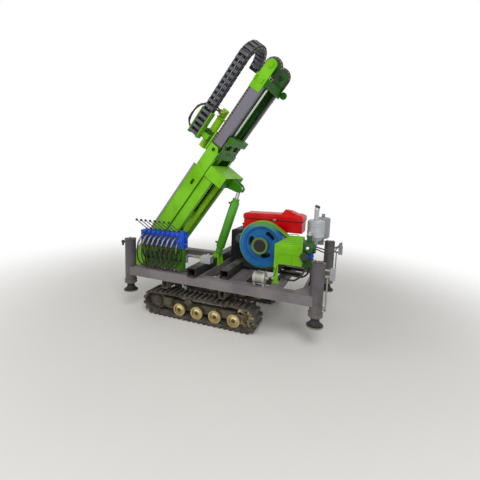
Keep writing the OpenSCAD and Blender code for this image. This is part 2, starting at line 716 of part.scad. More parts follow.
module valve_bank() {
  top = bank_z + bank_h;
  color("#1d4fc4") {
    box([bank_x0, bank_y + 12, bank_z + 10], [bank_x0 + bank_l, bank_y + 66, top - 18]);
    for (k = [0:bank_count - 1]) {
      x = bank_x0 + k * bank_pitch;
      box([x + 3, bank_y, bank_z], [x + bank_pitch - 3, bank_y + 74, top - 26]);
      translate([x + bank_pitch / 2, bank_y + 74, top - 26]) rotate([90, 0, 0]) cylinder(h = 74, r = bank_pitch / 2 - 5);
    }
    // Inlet section with its plugs
    box([bank_x0 + bank_l - 1, bank_y - 4, bank_z], [bank_x0 + bank_l + 46, bank_y + 78, top + 2]);
    translate([bank_x0 + bank_l + 22, bank_y + 36, top]) cylinder(h = 18, r = 16);
    for (z = [bank_z + 40, bank_z + 86]) translate([bank_x0 + bank_l + 22, bank_y - 3, z]) rotate([90, 0, 0]) cylinder(h = 14, r = 14);
    // Outlet section at the mast end
    box([bank_x0 - 24, bank_y + 2, bank_z], [bank_x0 + 1, bank_y + 72, top - 10]);
  }
}

module valve_levers() {
  // Stem, bent handle and round knob
  lift = bank_z + bank_h + bank_pitch / 2 - 31;
  color("#1a1a1a") for (k = [0:bank_count - 1]) {
    foot = [bank_x0 + (k + 0.5) * bank_pitch, bank_y + 30, lift + 8];
    knob = foot + [-122, -12, 84];
    translate([foot.x, foot.y, lift + seat_gap]) cylinder(h = 16, r = 11);
    along(foot, knob) cylinder(h = norm(knob - foot), r = 5);
    along(knob, knob + knob - foot) rotate_extrude()
      polygon([[0, -13], [8, -11], [12, -6], [14, 0], [12, 7], [7, 12], [0, 13]]);
  }
}

module valve_stand() {
  color(green) {
    box([bank_x0 + 10, bank_y + 56, rail_top_z], [bank_x0 + bank_l + 30, bank_y + 64, bank_z]);
    for (x = [bank_x0 + 10, bank_x0 + bank_l + 22]) box([x, bank_y + 12, rail_top_z], [x + 8, bank_y + 57, bank_z]);
    box([bank_x0 + 10, bank_y + 12, bank_z - 8], [bank_x0 + bank_l + 30, bank_y + 57, bank_z]);
  }
}

// Round hose along a line
module hose(route, r, sides = 8) {
  line = spline(route, 2);
  last = len(route) - 1;
  dirs = ring_dirs(line, route[1] - route[0], route[last] - route[last - 1]);
  across = carried(dirs, 0, cross(abs(dirs[0].y) > 0.9 ? [1, 0, 0] : [0, 1, 0], dirs[0]));
  n = len(line);
  points = [for (i = [0:n - 1], k = [0:sides - 1])
    let (u = across[i], w = cross(dirs[i], u), a = k * 360 / sides) line[i] + r * (cos(a) * u + sin(a) * w)];
  faces = concat([[for (k = [0:sides - 1]) k]], [[for (k = [sides - 1:-1:0]) (n - 1) * sides + k]],
    [for (i = [0:n - 2], k = [0:sides - 1])
      [i * sides + k, (i + 1) * sides + k, (i + 1) * sides + (k + 1) % sides, i * sides + (k + 1) % sides]]);
  polyhedron(points, faces);
}

// A direction across the hose, carried along it without twist
function carried(dirs, i, u) = i >= len(dirs) ? [] :
  let (v = unit(u - (u * dirs[i]) * dirs[i])) concat([v], carried(dirs, i + 1, v));

// Smooth line through points, as a list of n points on each stretch
function spline(p, n) = concat([for (i = [0:len(p) - 2], k = [0:n - 1])
  let (t = k / n, a = p[max(i - 1, 0)], b = p[i], c = p[i + 1], d = p[min(i + 2, len(p) - 1)])
  0.5 * (2 * b + (c - a) * t + (2 * a - 5 * b + 4 * c - d) * t * t + (3 * b - a - 3 * c + d) * t * t * t)],
  [p[len(p) - 1]]);
function unit(v) = v / norm(v);
// Along the hose at each ring, square to the route's first and last stretch at its ends
function ring_dirs(line, first, last) = concat([unit(first)],
  [for (i = [1:len(line) - 2]) unit(line[i + 1] - line[i - 1])], [unit(last)]);

module valve_hoses() {
  // Upper row: out of the bank's front, down, and round in a wide loop to the stand or to the cross tube
  // Lower row: down between the upper hoses and back to the stand
  r = 7.5;
  plate_y = bank_y + 56 - seat_gap;
  out_z = bank_z + 104;
  low_z = bank_z + 44;
  color("#1b1b1b") for (k = [0:bank_count - 1]) {
    x = bank_x0 + (k + 0.5) * bank_pitch;
    bottom = rail_top_z + 20;
    down = [[x - 6, bank_y - seat_gap, out_z], [x - 6, bank_y - 14, out_z], [x - 16, bank_y - 48, out_z - 18],
      [x - 27, bank_y - 82, out_z - 84], [x - 30, bank_y - 92, bank_z - 90], [x - 6, bank_y - 86, bottom + 50],
      [x + 60, bank_y - 54, bottom + 6 * (k % 2)]];
    to_stand = [[x + 120, bank_y - 36, bottom + 36], [x + 149, bank_y - 14, bottom + 110],
      [x + 149, plate_y - 12, bottom + 168], [x + 149, plate_y, bottom + 168]];
    tube_y = bank_y - 62 * (k + 2 - bank_count);
    to_tube = [[cross_tube_x - 60, tube_y, bottom + 22], [cross_tube_x - 12, tube_y, bottom + 30],
      [cross_tube_x - seat_gap, tube_y, bottom + 30]];
    hose(concat(down, x + 149 < bank_x0 + bank_l + 20 ? to_stand : to_tube), r);
    hose([[x + 8, bank_y - seat_gap, low_z], [x + 8, bank_y - 12, low_z], [x + 7, bank_y - 34, low_z - 22],
      [x + 5, bank_y - 40, low_z - 90], [x + 5, bank_y - 26, low_z - 160], [x + 5, bank_y + 8, low_z - 190],
      [x + 5, plate_y - 14, low_z - 186], [x + 5, plate_y, low_z - 186]], r);
  }
}

module engine_hoses() {
  // Under the pump to the frame, and two thin lines to the far jack's lock valve
  r = 9;
  thin = 6;
  under = pump_z - 110 - seat_gap;
  beside = guard_x1 + 108 + seat_gap;
  block = [jack_x + jack_r + 66, jack_y, 764 + seat_gap];
  floor_z = rail_top_z + seat_gap;
  color("#1b1b1b") {
    hose([[guard_x1 + 28, pump_y - 26, under], [guard_x1 + 28, pump_y - 26, under - 14], [guard_x1 + 4, pump_y - 62, under - 74],
      [guard_x1 - 66, pump_y - 60, under - 140], [guard_x1 - 150, pump_y - 30, under - 148], [guard_x1 - 206, pump_y - 6, floor_z + 44],
      [guard_x1 - 224, pump_y, floor_z + 14], [guard_x1 - 224, pump_y, floor_z]], r);
    hose([[guard_x1 + 66, pump_y - 20, under], [guard_x1 + 66, pump_y - 20, under - 14], [guard_x1 + 82, pump_y - 44, under - 70],
      [guard_x1 + 84, pump_y - 30, under - 130], [guard_x1 + 70, pump_y, floor_z + 16], [guard_x1 + 70, pump_y, floor_z]], r);
    hose([[guard_x1 + 50, pump_y + 24, under], [guard_x1 + 50, pump_y + 24, under - 14], [guard_x1 + 38, pump_y + 62, under - 90],
      [guard_x1 - 20, pump_y + 96, under - 146], [guard_x1 - 120, pump_y + 110, under - 150], [guard_x1 - 196, pump_y + 106, floor_z + 34],
      [guard_x1 - 216, pump_y + 104, floor_z + 14], [guard_x1 - 216, pump_y + 104, floor_z]], r);
    for (k = [0, 1]) let (a = [beside, pump_y - 18 + 36 * k, pump_z + pump_rise + 20 - 30 * k], b = block + [9 - 18 * k, 0, 0])
      hose([a, a + [14, 0, 0], a + [88, 60, -28 - 10 * k], a + [150, 220, -44 - 8 * k], b + [0, -170, 60 - 12 * k],
        b + [0, -36, 50 - 10 * k], b + [0, 0, 14], b], thin);
  }
}

module head_hoses() {
  // Free arc from the trough's outer flange up to the motor's ports
  r = 9;
  flange_x = chain_x - chain_half - trough_gap - trough_t - seat_gap;
  port = [-drill_front - 15, -93 - seat_gap, gearbox_low + 329];
  color("#1b1b1b") on_mast() for (k = [0, 1]) let (a = [flange_x, -178 - 34 * k, chain_low + 30 + 26 * k], b = port + [30 * k, 0, 0])
    hose([a, a + [-12, 0, 0], a + [-66, -6, 50], a + [-92 + 24 * k, 6, 170], a + [-64 + 30 * k, 26 + 36 * k, 270],
      b + [-30 - 20 * k, -44 - 6 * k, -4 + 30 * k], b + [0, -14, 0], b], r);
}

module cross_tube() {
  color("#38373b") both_sides() {
    tube_y(cross_tube_x, cross_tube_x + cross_tube_w, -rail_out_y - 18, -lug_y - lug_t - pin_proud - seat_gap, rail_top_z,
      rail_top_z + cross_tube_w);
  }
  // Second tube, in front of the engine
  color("#38373b") tube_y(engine_x0 - cross_tube_w, engine_x0, -rail_out_y + 70, 90, rail_top_z, rail_top_z + cross_tube_w);
}

module steel_pipe() {
  z = rail_top_z + 140;
  x0 = -410;
  y = -300;
  r = 15;
  color("silver") {
    // Block on top of the cross tube
    box([cross_tube_x + 30, y - 40, rail_top_z + cross_tube_w], [cross_tube_x + 140, y + 40, z + 24]);
    bar([x0 + 30, y, z], [cross_tube_x + 31, y, z], r);
    translate([x0 + 30, y, z - 30]) rotate([90, 0, 0]) rotate(90) rotate_extrude(angle = 90) translate([30, 0]) circle(r);
    translate([x0 + 26, y, z]) rotate([0, 90, 0]) cylinder(h = 10, r = r + 2);
    translate([x0, y, z - 35]) cylinder(h = 10, r = r + 2);
    translate([x0, y, rail_top_z + 60]) cylinder(h = z - rail_top_z - 89, r = r);
    translate([cross_tube_x + 20, y, z]) rotate([0, 90, 0]) cylinder(h = 26, r = r + 7);
    translate([cross_tube_x + 100, y, z + 20]) cylinder(h = 26, r = 16);
  }
}

module alternator() {
  x0 = fly_x + 28;
  y = -462;
  r = 58;
  z = rail_top_z + r + 18;
  color("#b9bab6") {
    translate([x0, y, z]) rotate([0, 90, 0]) cylinder(h = 26, r = r);
    translate([x0 + 25, y, z]) rotate([0, 90, 0]) cylinder(h = 60, r = r - 7);
    for (k = [0:3]) translate([x0 + 32 + k * 14, y, z]) rotate([0, 90, 0]) cylinder(h = 5, r = r - 2);
    translate([x0 + 84, y, z]) rotate([0, 90, 0]) cylinder(h = 26, r = r);
    translate([x0 - 14, y, z]) rotate([0, 90, 0]) cylinder(h = 15, r = 24);
    translate([x0 + 109, y, z]) rotate([0, 90, 0]) cylinder(h = 30, r = 14);
    for (x = [x0 + 4, x0 + 88]) box([x, y - 34, rail_top_z], [x + 18, y + 34, z - 30]);
  }
}

module flywheel() {
  // Looking along the shaft: rim, step, web with its kidney holes, and hub ring
  hub_r = 82;
  hub_in = 54;
  rim_in = fly_d / 2 - 56;
  step = 14;
  hub_out = 60;
  slot_r = 124;
  slot_half = 26;
  slot_span = 26;
  color("#2a79b5") translate([fly_x, -fly_near_y, fly_z]) rotate([-90, 0, 0]) difference() {
    rotate_extrude() polygon([[fly_shaft_r, fly_web_in], [hub_in, fly_web_in], [hub_in, -hub_out], [hub_r, -hub_out],
      [hub_r, fly_web_in], [rim_in, fly_web_in], [rim_in, step - 2], [rim_in + step, step - 2], [rim_in + step, 0],
      [fly_d / 2, 0], [fly_d / 2, fly_w], [fly_shaft_r, fly_w]]);
    for (k = [0:2]) rotate(k * 120 - 62) translate([0, 0, fly_web_in - 1]) linear_extrude(fly_w)
      polygon(kidney_points(slot_r, slot_half, slot_span));
  }
}

// Outline of a kidney hole: middle radius, half width and span in degrees
function kidney_points(r, half, span) = concat(
  [for (a = [0:span / 4:span]) (r + half) * [cos(a), sin(a)]],
  [for (b = [30:30:150]) r * [cos(span), sin(span)] + half * [cos(span + b), sin(span + b)]],
  [for (a = [span:-span / 4:0]) (r - half) * [cos(a), sin(a)]],
  [for (b = [210:30:330]) r * [1, 0] + half * [cos(b), sin(b)]]);

module tilt_frame() {
  tube_r = 30;
  eye_pin_l = 24;
  color(green) on_mast() {
    difference() {
      union() {
        both_sides() {
          box([-tilt_front, -tilt_out_y, 0], [tilt_back, -tilt_in_y, tilt_high + 1]);
          translate([0, -tilt_in_y + 1, 0]) rotate([90, 0, 0]) cylinder(h = tilt_out_y - tilt_in_y + 3, r = 44);
        }
        translate([0, tilt_in_y + 1, 0]) rotate([90, 0, 0]) cylinder(h = 2 * tilt_in_y + 2, r = tube_r);
      }
      translate([0, post_y, 0]) rotate([90, 0, 0]) cylinder(h = 2 * post_y, r = pivot_pin_d / 2 + run_fit);
    }
    // Box that carries the slide cylinder and the tilt cylinder's upper eye
    box([-tilt_front, -outer_half_w, tilt_high], [bracket_back, outer_half_w, bracket_high]);
    both_sides() {
      difference() {
        plate_y([[bracket_back - 1, tilt_high], [eye_x - 10, eye_z - 42], [eye_x + 40, eye_z - 20],
          [eye_x + 40, eye_z + 20], [eye_x, eye_z + 44], [bracket_back - 1, bracket_high]], -lug_y - lug_t, -lug_y + 2);
        translate([eye_x, 0, eye_z]) rotate([90, 0, 0]) cylinder(h = 100, r = pin_r);
      }
      translate([eye_x, -lug_y + 2, eye_z]) rotate([90, 0, 0]) cylinder(h = eye_pin_l, r = pin_r);
    }
  }
}

module slide_barrel() {
  color(green) on_mast() difference() {
    translate([slide_x, 0, slide_low]) cylinder(h = tilt_high - slide_low, r = 32);
    translate([slide_x, 0, slide_low + 50]) cylinder(h = tilt_high - slide_low - 80, r = 24);
    translate([slide_x, 0, slide_low - 1]) cylinder(h = 52, r = rod_r + run_fit);
  }
}

module slide_rod() {
  color("silver") on_mast() translate([slide_x, 0, slide_lug_z + 25]) cylinder(h = 750, r = rod_r);
}

module outer_mast() {
  flank_in = outer_half_w - mast_wall;
  slot_low = 985;
  slot_w = 36;
  slot_h = 70;
  plate_t = 7;
  color(green) on_mast() {
    both_sides() {
      difference() {
        box([-outer_front, -outer_half_w, -outer_low], [-outer_back, flange_w - outer_half_w, outer_high]);
        box([-outer_front + mast_wall, -flank_in, -outer_low - 1],
          [-outer_back - mast_wall, outer_half_w, outer_high + 1]);
        // Slot with round ends and the lightening hole near the top
        plate_y(slot_points([lift_x + 6, slot_low], slot_w / 2, slot_h - slot_w), -outer_half_w - 1, -flank_in + 1);
        translate([lift_x, 1 - flank_in, outer_high - 44]) rotate([90, 0, 0]) cylinder(h = mast_wall + 2, r = 20);
        // Back top corner
        plate_y([[-outer_back + 1, outer_high - 58], [-outer_back + 1, outer_high + 1], [-outer_back - 36, outer_high + 1]],
          -outer_half_w - 1, flange_w - outer_half_w + 1);
      }
      // Web that carries the guide strips of the carriage
      box([-outer_front - guide_web, -outer_half_w + 4, -outer_low], [-outer_front + 1, -outer_half_w + 10, strip_high]);
      // Stop blocks of the inner mast
      box([lift_x - 30, -flank_in - 1, outer_high - 190], [lift_x + 30, -inner_half_w - seat_gap, outer_high - 80]);
    }
    // Foot, cross plates and the block of the chains' ends with its two windows
    box([-outer_front - 2, -outer_half_w - 2, -outer_low - 12], [-outer_back + 8, outer_half_w + 2, -outer_low + 2]);
    box([-outer_back - 2, -outer_half_w + 1, -outer_low - 1], [-outer_back + 6, outer_half_w - 1, -60]);
    box([-outer_back - 2, -outer_half_w + 1, slide_lug_z - 20], [-outer_back + 6, outer_half_w - 1, slide_lug_z + 40]);
    box([-outer_back - 2, -outer_half_w + 1, outer_high - 115], [-outer_back + 6, outer_half_w - 1, outer_high - 60]);
    difference() {
      box([-outer_back - 2, -collar_half_w, outer_high - 61], [-outer_back - 2 + plate_t, collar_half_w, collar_high]);
      for (y = [-collar_half_w / 2, collar_half_w / 2])
        box([-outer_back - 3, y - 62, collar_high - 150], [-outer_back - 1 + plate_t, y + 62, collar_high - 85]);
    }
    box([-outer_back - 2, -collar_half_w, collar_high - 75], [-outer_back + 45, collar_half_w, collar_high]);
    // Lug of the slide cylinder's rod
    box([-outer_back + 1, -30, slide_lug_z], [slide_x + 28, 30, slide_lug_z + 25]);
  }
}

module guide_strips() {
  color("silver") on_mast() both_sides() for (z = [[-outer_low, strip_joint_z - 0.5], [strip_joint_z + 0.5, strip_high]])
    box([-outer_front - guide_web - strip_t, -outer_half_w, z[0]], [-outer_front - guide_web, -outer_half_w + 14, z[1]]);
}

// Slot with round ends, upright, from its low end's middle
function slot_points(c, r, l) = concat(
  [for (a = [0:20:180]) [c.x + r * cos(a), c.y + l + r * sin(a)]],
  [for (a = [180:20:360]) [c.x + r * cos(a), c.y + r * sin(a)]]);

module lift_barrel() {
  foot_gap = 2 + seat_gap;
  color(green) on_mast() translate([lift_x, 0, -outer_low + foot_gap]) difference() {
    union() {
      cylinder(h = outer_low + 1340 - foot_gap, r = lift_r);
      translate([0, 0, outer_low + 1280]) cylinder(h = 60 - foot_gap, r = lift_r + 5);
    }
    translate([0, 0, 20]) cylinder(h = outer_low + 1340, r = rod_r + run_fit);
  }
}

module lift_rod() {
  color("silver") on_mast() translate([lift_x, 0, inner_low + 60]) cylinder(h = inner_high - inner_low - 60, r = rod_r);
}

module inner_mast() {
  flange = 44;
  front_t = 6;
  color("#77747c") on_mast() {
    both_sides() {
      difference() {
        box([-inner_front, -inner_half_w, inner_low], [-inner_back, flange - inner_half_w, inner_high]);
        box([-inner_front + mast_wall, mast_wall - inner_half_w, inner_low - 1],
          [-inner_back - mast_wall, inner_half_w, inner_high + 1]);
      }
      box([-inner_front - guide_proud, -guide_out, inner_low], [-inner_front + 1, -guide_in, inner_high]);
      // Wear pad inside the outer mast
      box([lift_x - 30, -outer_half_w + mast_wall + seat_gap, inner_low + 20],
        [lift_x + 30, -inner_half_w + 1, inner_low + 130]);
    }
    box([-inner_front, flange - inner_half_w - 1, inner_low], [-inner_front + front_t, inner_half_w - flange + 1, inner_high]);
    box([-inner_back - 8, mast_wall - inner_half_w, inner_low], [-inner_back, inner_half_w - mast_wall, inner_low + 90]);
  }
}

module mast_head() {
  flank_t = 4;
  head_front = inner_front + 29;
  head_back = 51;
  top_t = 6;
  corner_y = chain_out_y + 2;
  cheek_t = 12;
  cheek_r = 58;
  shoulder_z = inner_high + top_t;
  color(green) on_mast() {
    both_sides() {
      // Flanks over the rails, stepped, with their front plates
      box([-head_front + 4, -inner_half_w - flank_t, head_low], [-inner_back, -inner_half_w, head_step + 1]);
      box([-head_front, -inner_half_w - flank_t - 2, head_step], [-head_back, -inner_half_w, shoulder_z]);
      box([-head_front + 4, -inner_half_w - 1, head_low], [-inner_front, -corner_y, head_step + 1]);
      box([-head_front, -inner_half_w - 1, head_step], [-inner_front, -corner_y, shoulder_z]);
      box([-head_front, -inner_half_w - 1, inner_high], [-head_back, -corner_y, shoulder_z]);
      // Cheeks with their bearings
      difference() {
        plate_y(concat([[head_shaft[0] + cheek_r, inner_high + 1], [head_shaft[0] + cheek_r, head_shaft[1]]],
          [for (a = [10:10:170]) [head_shaft[0] + cheek_r * cos(a), head_shaft[1] + cheek_r * sin(a)]],
          [[head_shaft[0] - cheek_r, head_shaft[1]], [head_shaft[0] - cheek_r, inner_high + 1]]),
          -inner_half_w, -inner_half_w + cheek_t);
        translate([head_shaft[0], 1 - inner_half_w + cheek_t, head_shaft[1]]) rotate([90, 0, 0])
          cylinder(h = cheek_t + 2, r = shaft_r);
      }
      difference() {
        translate([head_shaft[0], 1 - inner_half_w, head_shaft[1]]) rotate([90, 0, 0]) cylinder(h = 11, r = shaft_r + 10);
        translate([head_shaft[0], 2 - inner_half_w, head_shaft[1]]) rotate([90, 0, 0]) cylinder(h = 6, r = shaft_r);
      }
      // Lug of the lower chain's end, under the cross piece
      box([-110, -180, inner_high - 50], [-inner_back + 1, -150, inner_high - 35]);
    }
    box([-head_front + 12, -corner_y - 1, inner_high], [-head_back, corner_y + 1, shoulder_z]);
    box([-inner_back, -inner_half_w - 1, head_step], [-head_back, inner_half_w + 1, inner_high + 1]);
    // Round ear on the far side
    translate([-head_back + 26, inner_half_w + 6, inner_high - 10]) rotate([90, 0, 0]) cylinder(h = 16, r = 38);
    // Arm of the energy chain
    box([chain_x - chain_half, chain_mid_y + chain_r - chain_t / 2, chain_top - 30],
      [-head_front - 26, chain_mid_y + chain_r + chain_t / 2, chain_top]);
    box([-head_front - 27, chain_mid_y + chain_r - chain_t / 2, chain_top - 30],
      [-head_front + 40, chain_mid_y + chain_r - 8, chain_top]);
    box([-head_front + 12, chain_mid_y + chain_r - chain_t / 2, inner_high],
      [-head_front + 40, chain_mid_y + chain_r - 8, chain_top]);
  }
}

// Outline of a toothed wheel: root radius, tip radius and number of teeth
function gear_points(r0, r1, n) = [for (k = [0:n - 1], e = [[0, r0], [0.3, r1], [0.5, r1], [0.8, r0]])
  e[1] * [cos((k + e[0]) * 360 / n), sin((k + e[0]) * 360 / n)]];

module head_sprockets() {
  hub_r = 30;
  color("#2f4a34") on_mast() translate([head_shaft[0], 0, head_shaft[1]]) rotate([90, 0, 0]) {
    translate([0, 0, -inner_half_w + seat_gap]) cylinder(h = 2 * (inner_half_w - seat_gap), r = shaft_r - run_fit);
    for (y = [-sprocket_y, sprocket_y]) {
      translate([0, 0, y - sprocket_t / 2]) linear_extrude(sprocket_t)
        polygon(gear_points(sprocket_d / 2 - tooth_deep, sprocket_d / 2, sprocket_teeth));
      translate([0, 0, y - 20]) cylinder(h = 40, r = hub_r);
    }
  }
}

module feed_chain() {
  pitch_r = sprocket_d / 2 - tooth_deep / 2;
  half_h = 12;
  color("#b9b39a") on_mast() both_sides() translate([head_shaft[0], -sprocket_y, head_shaft[1]]) {
    // Link plates beside the sprocket, over it and down both runs
    for (y = [-chain_out_y + sprocket_y, chain_out_y - sprocket_y - link_t])
      translate([0, y + link_t, 0]) rotate([90, 0, 0]) linear_extrude(link_t) {
        difference() {
          circle(pitch_r + half_h);
          circle(pitch_r - half_h);
          translate([-200, -400]) square([400, 400]);
        }
        translate([-pitch_r - half_h, chain_end_z - head_shaft[1]]) square([2 * half_h, head_shaft[1] - chain_end_z + 1]);
        translate([pitch_r - half_h, inner_high + 6 + seat_gap - head_shaft[1]])
          square([2 * half_h, head_shaft[1] - inner_high - 5 - seat_gap]);
      }
    // Rollers of the runs, as one bar between the plates
    box([-pitch_r - 7, -chain_out_y + sprocket_y + 1, chain_end_z - head_shaft[1]],
      [-pitch_r + 7, chain_out_y - sprocket_y - 1, -60]);
    box([pitch_r - 7, -chain_out_y + sprocket_y + 1, inner_high + 6 + seat_gap - head_shaft[1]],
      [pitch_r + 7, chain_out_y - sprocket_y - 1, -60]);
    // Lower run behind the rails, down to the block on the outer mast
    box([-110 - head_shaft[0], -8, 1300 - head_shaft[1]], [-86 - head_shaft[0], 8, inner_high - 50 - seat_gap - head_shaft[1]]);
  }
}

module energy_chain() {
  side_t = 12;
  rung = 22;
  rung_pitch = 60;
  color("#2a2b30") on_mast() translate([chain_x, 0, 0]) rotate([90, 0, 90]) {
    for (x = [-chain_half, chain_half - side_t]) translate([0, 0, x]) linear_extrude(side_t) chain_profile();
    for (z = [chain_low + 20:rung_pitch:chain_top])
      translate([chain_mid_y - chain_r - rung, z, -chain_half]) cube([2 * rung, rung, 2 * chain_half]);
    translate([chain_mid_y, chain_top, 0])
      for (k = [1:9]) rotate(180 - k * 18) translate([chain_r - rung, -rung / 2, -chain_half]) cube([2 * rung, rung, 2 * chain_half]);
  }
}

module chain_profile() {
  translate([chain_mid_y - chain_r - chain_t / 2, chain_low]) square([chain_t, chain_top - chain_low]);
  translate([chain_mid_y, chain_top]) difference() {
    circle(chain_r + chain_t / 2);
    circle(chain_r - chain_t / 2);
    translate([-300, -600]) square([600, 600]);
  }
}

module carriage() {
  low = 1345;
  high = 1560;
  plate_front = 254;
  plate_back = 238;
  color(green) on_mast() {
    box([-plate_front, -175, low], [-plate_back, 175, high]);
    // Shoes on both sides of the guide bars
    both_sides() for (y = [[60, guide_in - seat_gap], [guide_out + seat_gap, 150]])
      box([-plate_back - 1, -y[1], low], [-inner_front - 6, -y[0], high]);
    // Ribs round the gearbox
    for (y = [-120, 108]) plate_y([[-plate_front + 1, low], [-plate_front + 1, high], [-plate_front - 24, high - 30],
      [-plate_front - 24, low + 20]], y, y + 12);
    // Upper plate behind the motor
    box([-plate_front, -70, high - 1], [-plate_back, 70, high + 120]);
  }
}

module rotary_gearbox() {
  h = 96;
  color("#2f6b2f") on_mast() {
    box([-drill_front - 60, -90, gearbox_low], [-254, 90, gearbox_low + h]);
    translate([-drill_front, 0, gearbox_low]) cylinder(h = h, r = 90);
    translate([-drill_front, 0, gearbox_low + h - 1]) cylinder(h = 11, r = 62);
    for (a = [30:60:330]) rotate_about([-drill_front, 0, gearbox_low + h], a) translate([74, 0, -1]) cylinder(h = 9, r = 8);
  }
}

// Turns its children about an upright line through a point
module rotate_about(c, a) {
  translate(c) rotate(a) children();
}

module hydraulic_motor() {
  color(green) on_mast() translate([-drill_front, 0, gearbox_low + 106]) {
    cylinder(h = 160, r = 42);
    translate([0, 0, 159]) cylinder(h = 14, r = 52);
    translate([0, 0, 172]) cylinder(h = 100, r = 38);
    box([-30, -70, 196], [30, 0, 250]);
    for (x = [-15, 15]) translate([x, -69, 223]) rotate([90, 0, 0]) cylinder(h = 24, r = 12);
  }
}

module chain_trough() {
  flange = trough_t;
  inner = trough_gap;
  high = chain_low + 300;
  color(green) on_mast() {
    for (x = [chain_x - chain_half - inner - flange, chain_x + chain_half + inner])
      box([x, -238, chain_low], [x + flange, -155, high]);
    box([chain_x - chain_half - inner - flange, -163, chain_low], [chain_x + chain_half + inner + flange, -155, high]);
    box([-380, -156, gearbox_low + 20], [-300, -90, gearbox_low + 70]);
  }
}

module spindle() {
  color("silver") on_mast() translate([-drill_front, 0, gearbox_low - 100]) difference() {
    cylinder(h = 99.7, r = 45);
    translate([0, 0, -1]) cylinder(h = 70, r = 25);
  }
}

// Direction of the tilt cylinder at rest, from its lower eye to its upper eye
upper_eye = [pivot_x + eye_z * sin(mast_lean) + eye_x * cos(mast_lean), 0,
  pivot_z + eye_z * cos(mast_lean) - eye_x * sin(mast_lean)];
tilt_vec = upper_eye - lower_eye;
tilt_len = norm(tilt_vec);
tilt_angle = atan2(tilt_vec.x, tilt_vec.z);

module on_tilt_cylinder() {
  translate(lower_eye) rotate([0, tilt_angle, 0]) children();
}

module tilt_barrel() {
  color(green) on_tilt_cylinder() difference() {
    union() {
      translate([0, 28, 0]) rotate([90, 0, 0]) cylinder(h = 56, r = 32);
      box([-26, -28, 0], [26, 28, 60]);
      translate([0, 0, 52]) cylinder(h = 648, r = 38);
    }
    translate([0, 50, 0]) rotate([90, 0, 0]) cylinder(h = 100, r = 15 + run_fit);
    translate([0, 0, 60]) cylinder(h = 700, r = 20 + run_fit);
  }
}

module tilt_rod() {
  color("silver") on_tilt_cylinder() {
    translate([0, 0, 120]) cylinder(h = tilt_len - 120 - 20, r = 20);
    translate([0, 26, tilt_len]) rotate([90, 0, 0]) difference() {
      cylinder(h = 52, r = 32);
      translate([0, 0, -1]) cylinder(h = 54, r = 16);
    }
  }
}

main_frame();
pivot_posts();
tilt_lug();
jack_barrels();
jack_lock_valves();
track_frames();
track_near();
track_far();
drive_sprockets();
idler_wheels();
road_wheels();
carrier_rollers();
travel_motors();
engine_block();
engine_mounts();
fuel_tank();
air_cleaner();
muffler();
belt_guard();
pump_set();
v_belts();
oil_tank();
valve_bank();
valve_levers();
valve_stand();
valve_hoses();
engine_hoses();
cross_tube();
steel_pipe();
alternator();
flywheel();
tilt_frame();
slide_barrel();
outer_mast();
guide_strips();
slide_rod();
lift_barrel();
inner_mast();
mast_head();
head_sprockets();
lift_rod();
feed_chain();
energy_chain();
carriage();
rotary_gearbox();
hydraulic_motor();
chain_trough();
head_hoses();
spindle();
tilt_barrel();
tilt_rod();
jack_leg_near_mast();
jack_leg_near_engine();
jack_leg_far_mast();
jack_leg_far_engine();
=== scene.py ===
import json
import math

import bpy
from mathutils import Matrix, Vector


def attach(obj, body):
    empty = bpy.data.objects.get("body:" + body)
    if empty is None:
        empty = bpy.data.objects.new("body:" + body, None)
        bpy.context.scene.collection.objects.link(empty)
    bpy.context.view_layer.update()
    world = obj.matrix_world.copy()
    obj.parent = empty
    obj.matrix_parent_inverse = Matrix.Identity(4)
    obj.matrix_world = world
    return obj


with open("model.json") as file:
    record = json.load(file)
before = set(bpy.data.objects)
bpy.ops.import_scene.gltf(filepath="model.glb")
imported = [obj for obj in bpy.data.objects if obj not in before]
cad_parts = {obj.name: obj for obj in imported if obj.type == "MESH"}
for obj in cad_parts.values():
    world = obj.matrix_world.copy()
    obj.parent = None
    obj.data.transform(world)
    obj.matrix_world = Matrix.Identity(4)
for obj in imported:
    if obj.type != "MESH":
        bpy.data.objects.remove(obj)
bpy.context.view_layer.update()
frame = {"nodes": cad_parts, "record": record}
nodes = frame["nodes"]
MM = 0.001

# Camera: stands off the near side towards the engine end and looks across the machine
CAM_PLACE = Vector((1.3017, -3.2086, 1.5401))
CAM_YAW = 0.364
CAM_PITCH = 0.133
CAM_ROLL = 0.034
CAM_FOCAL_PX = 316.6
PICTURE_PX = 480
PICTURE_MIDDLE_PX = (240.5, 216)
SENSOR_MM = 36


def make_camera():
    """The camera as it stood for the photo, with its middle shifted in the picture as it is there."""
    forward = Vector((-math.sin(CAM_YAW) * math.cos(CAM_PITCH), math.cos(CAM_YAW) * math.cos(CAM_PITCH),
                      -math.sin(CAM_PITCH)))
    level = Vector((math.cos(CAM_YAW), math.sin(CAM_YAW), 0))
    up = level.cross(forward)
    right = math.cos(CAM_ROLL) * level + math.sin(CAM_ROLL) * up
    up = right.cross(forward)
    data = bpy.data.cameras.new("camera")
    camera = bpy.data.objects.new("camera", data)
    bpy.context.collection.objects.link(camera)
    turn = Matrix((right, up, -forward)).transposed()
    camera.matrix_world = Matrix.Translation(CAM_PLACE) @ turn.to_4x4()
    data.sensor_width = SENSOR_MM
    data.lens = CAM_FOCAL_PX / PICTURE_PX * SENSOR_MM
    data.shift_x = (PICTURE_PX / 2 - PICTURE_MIDDLE_PX[0]) / PICTURE_PX
    data.shift_y = (PICTURE_MIDDLE_PX[1] - PICTURE_PX / 2) / PICTURE_PX
    data.clip_end = 100
    bpy.context.scene.camera = camera


make_camera()

# The mast leans about its tilt pin
PIVOT = Vector((-0.880, 0, 0.560))
LEAN = math.radians(36.5)
MAST = Matrix.Translation(PIVOT) @ Matrix.Rotation(LEAN, 4, "Y")

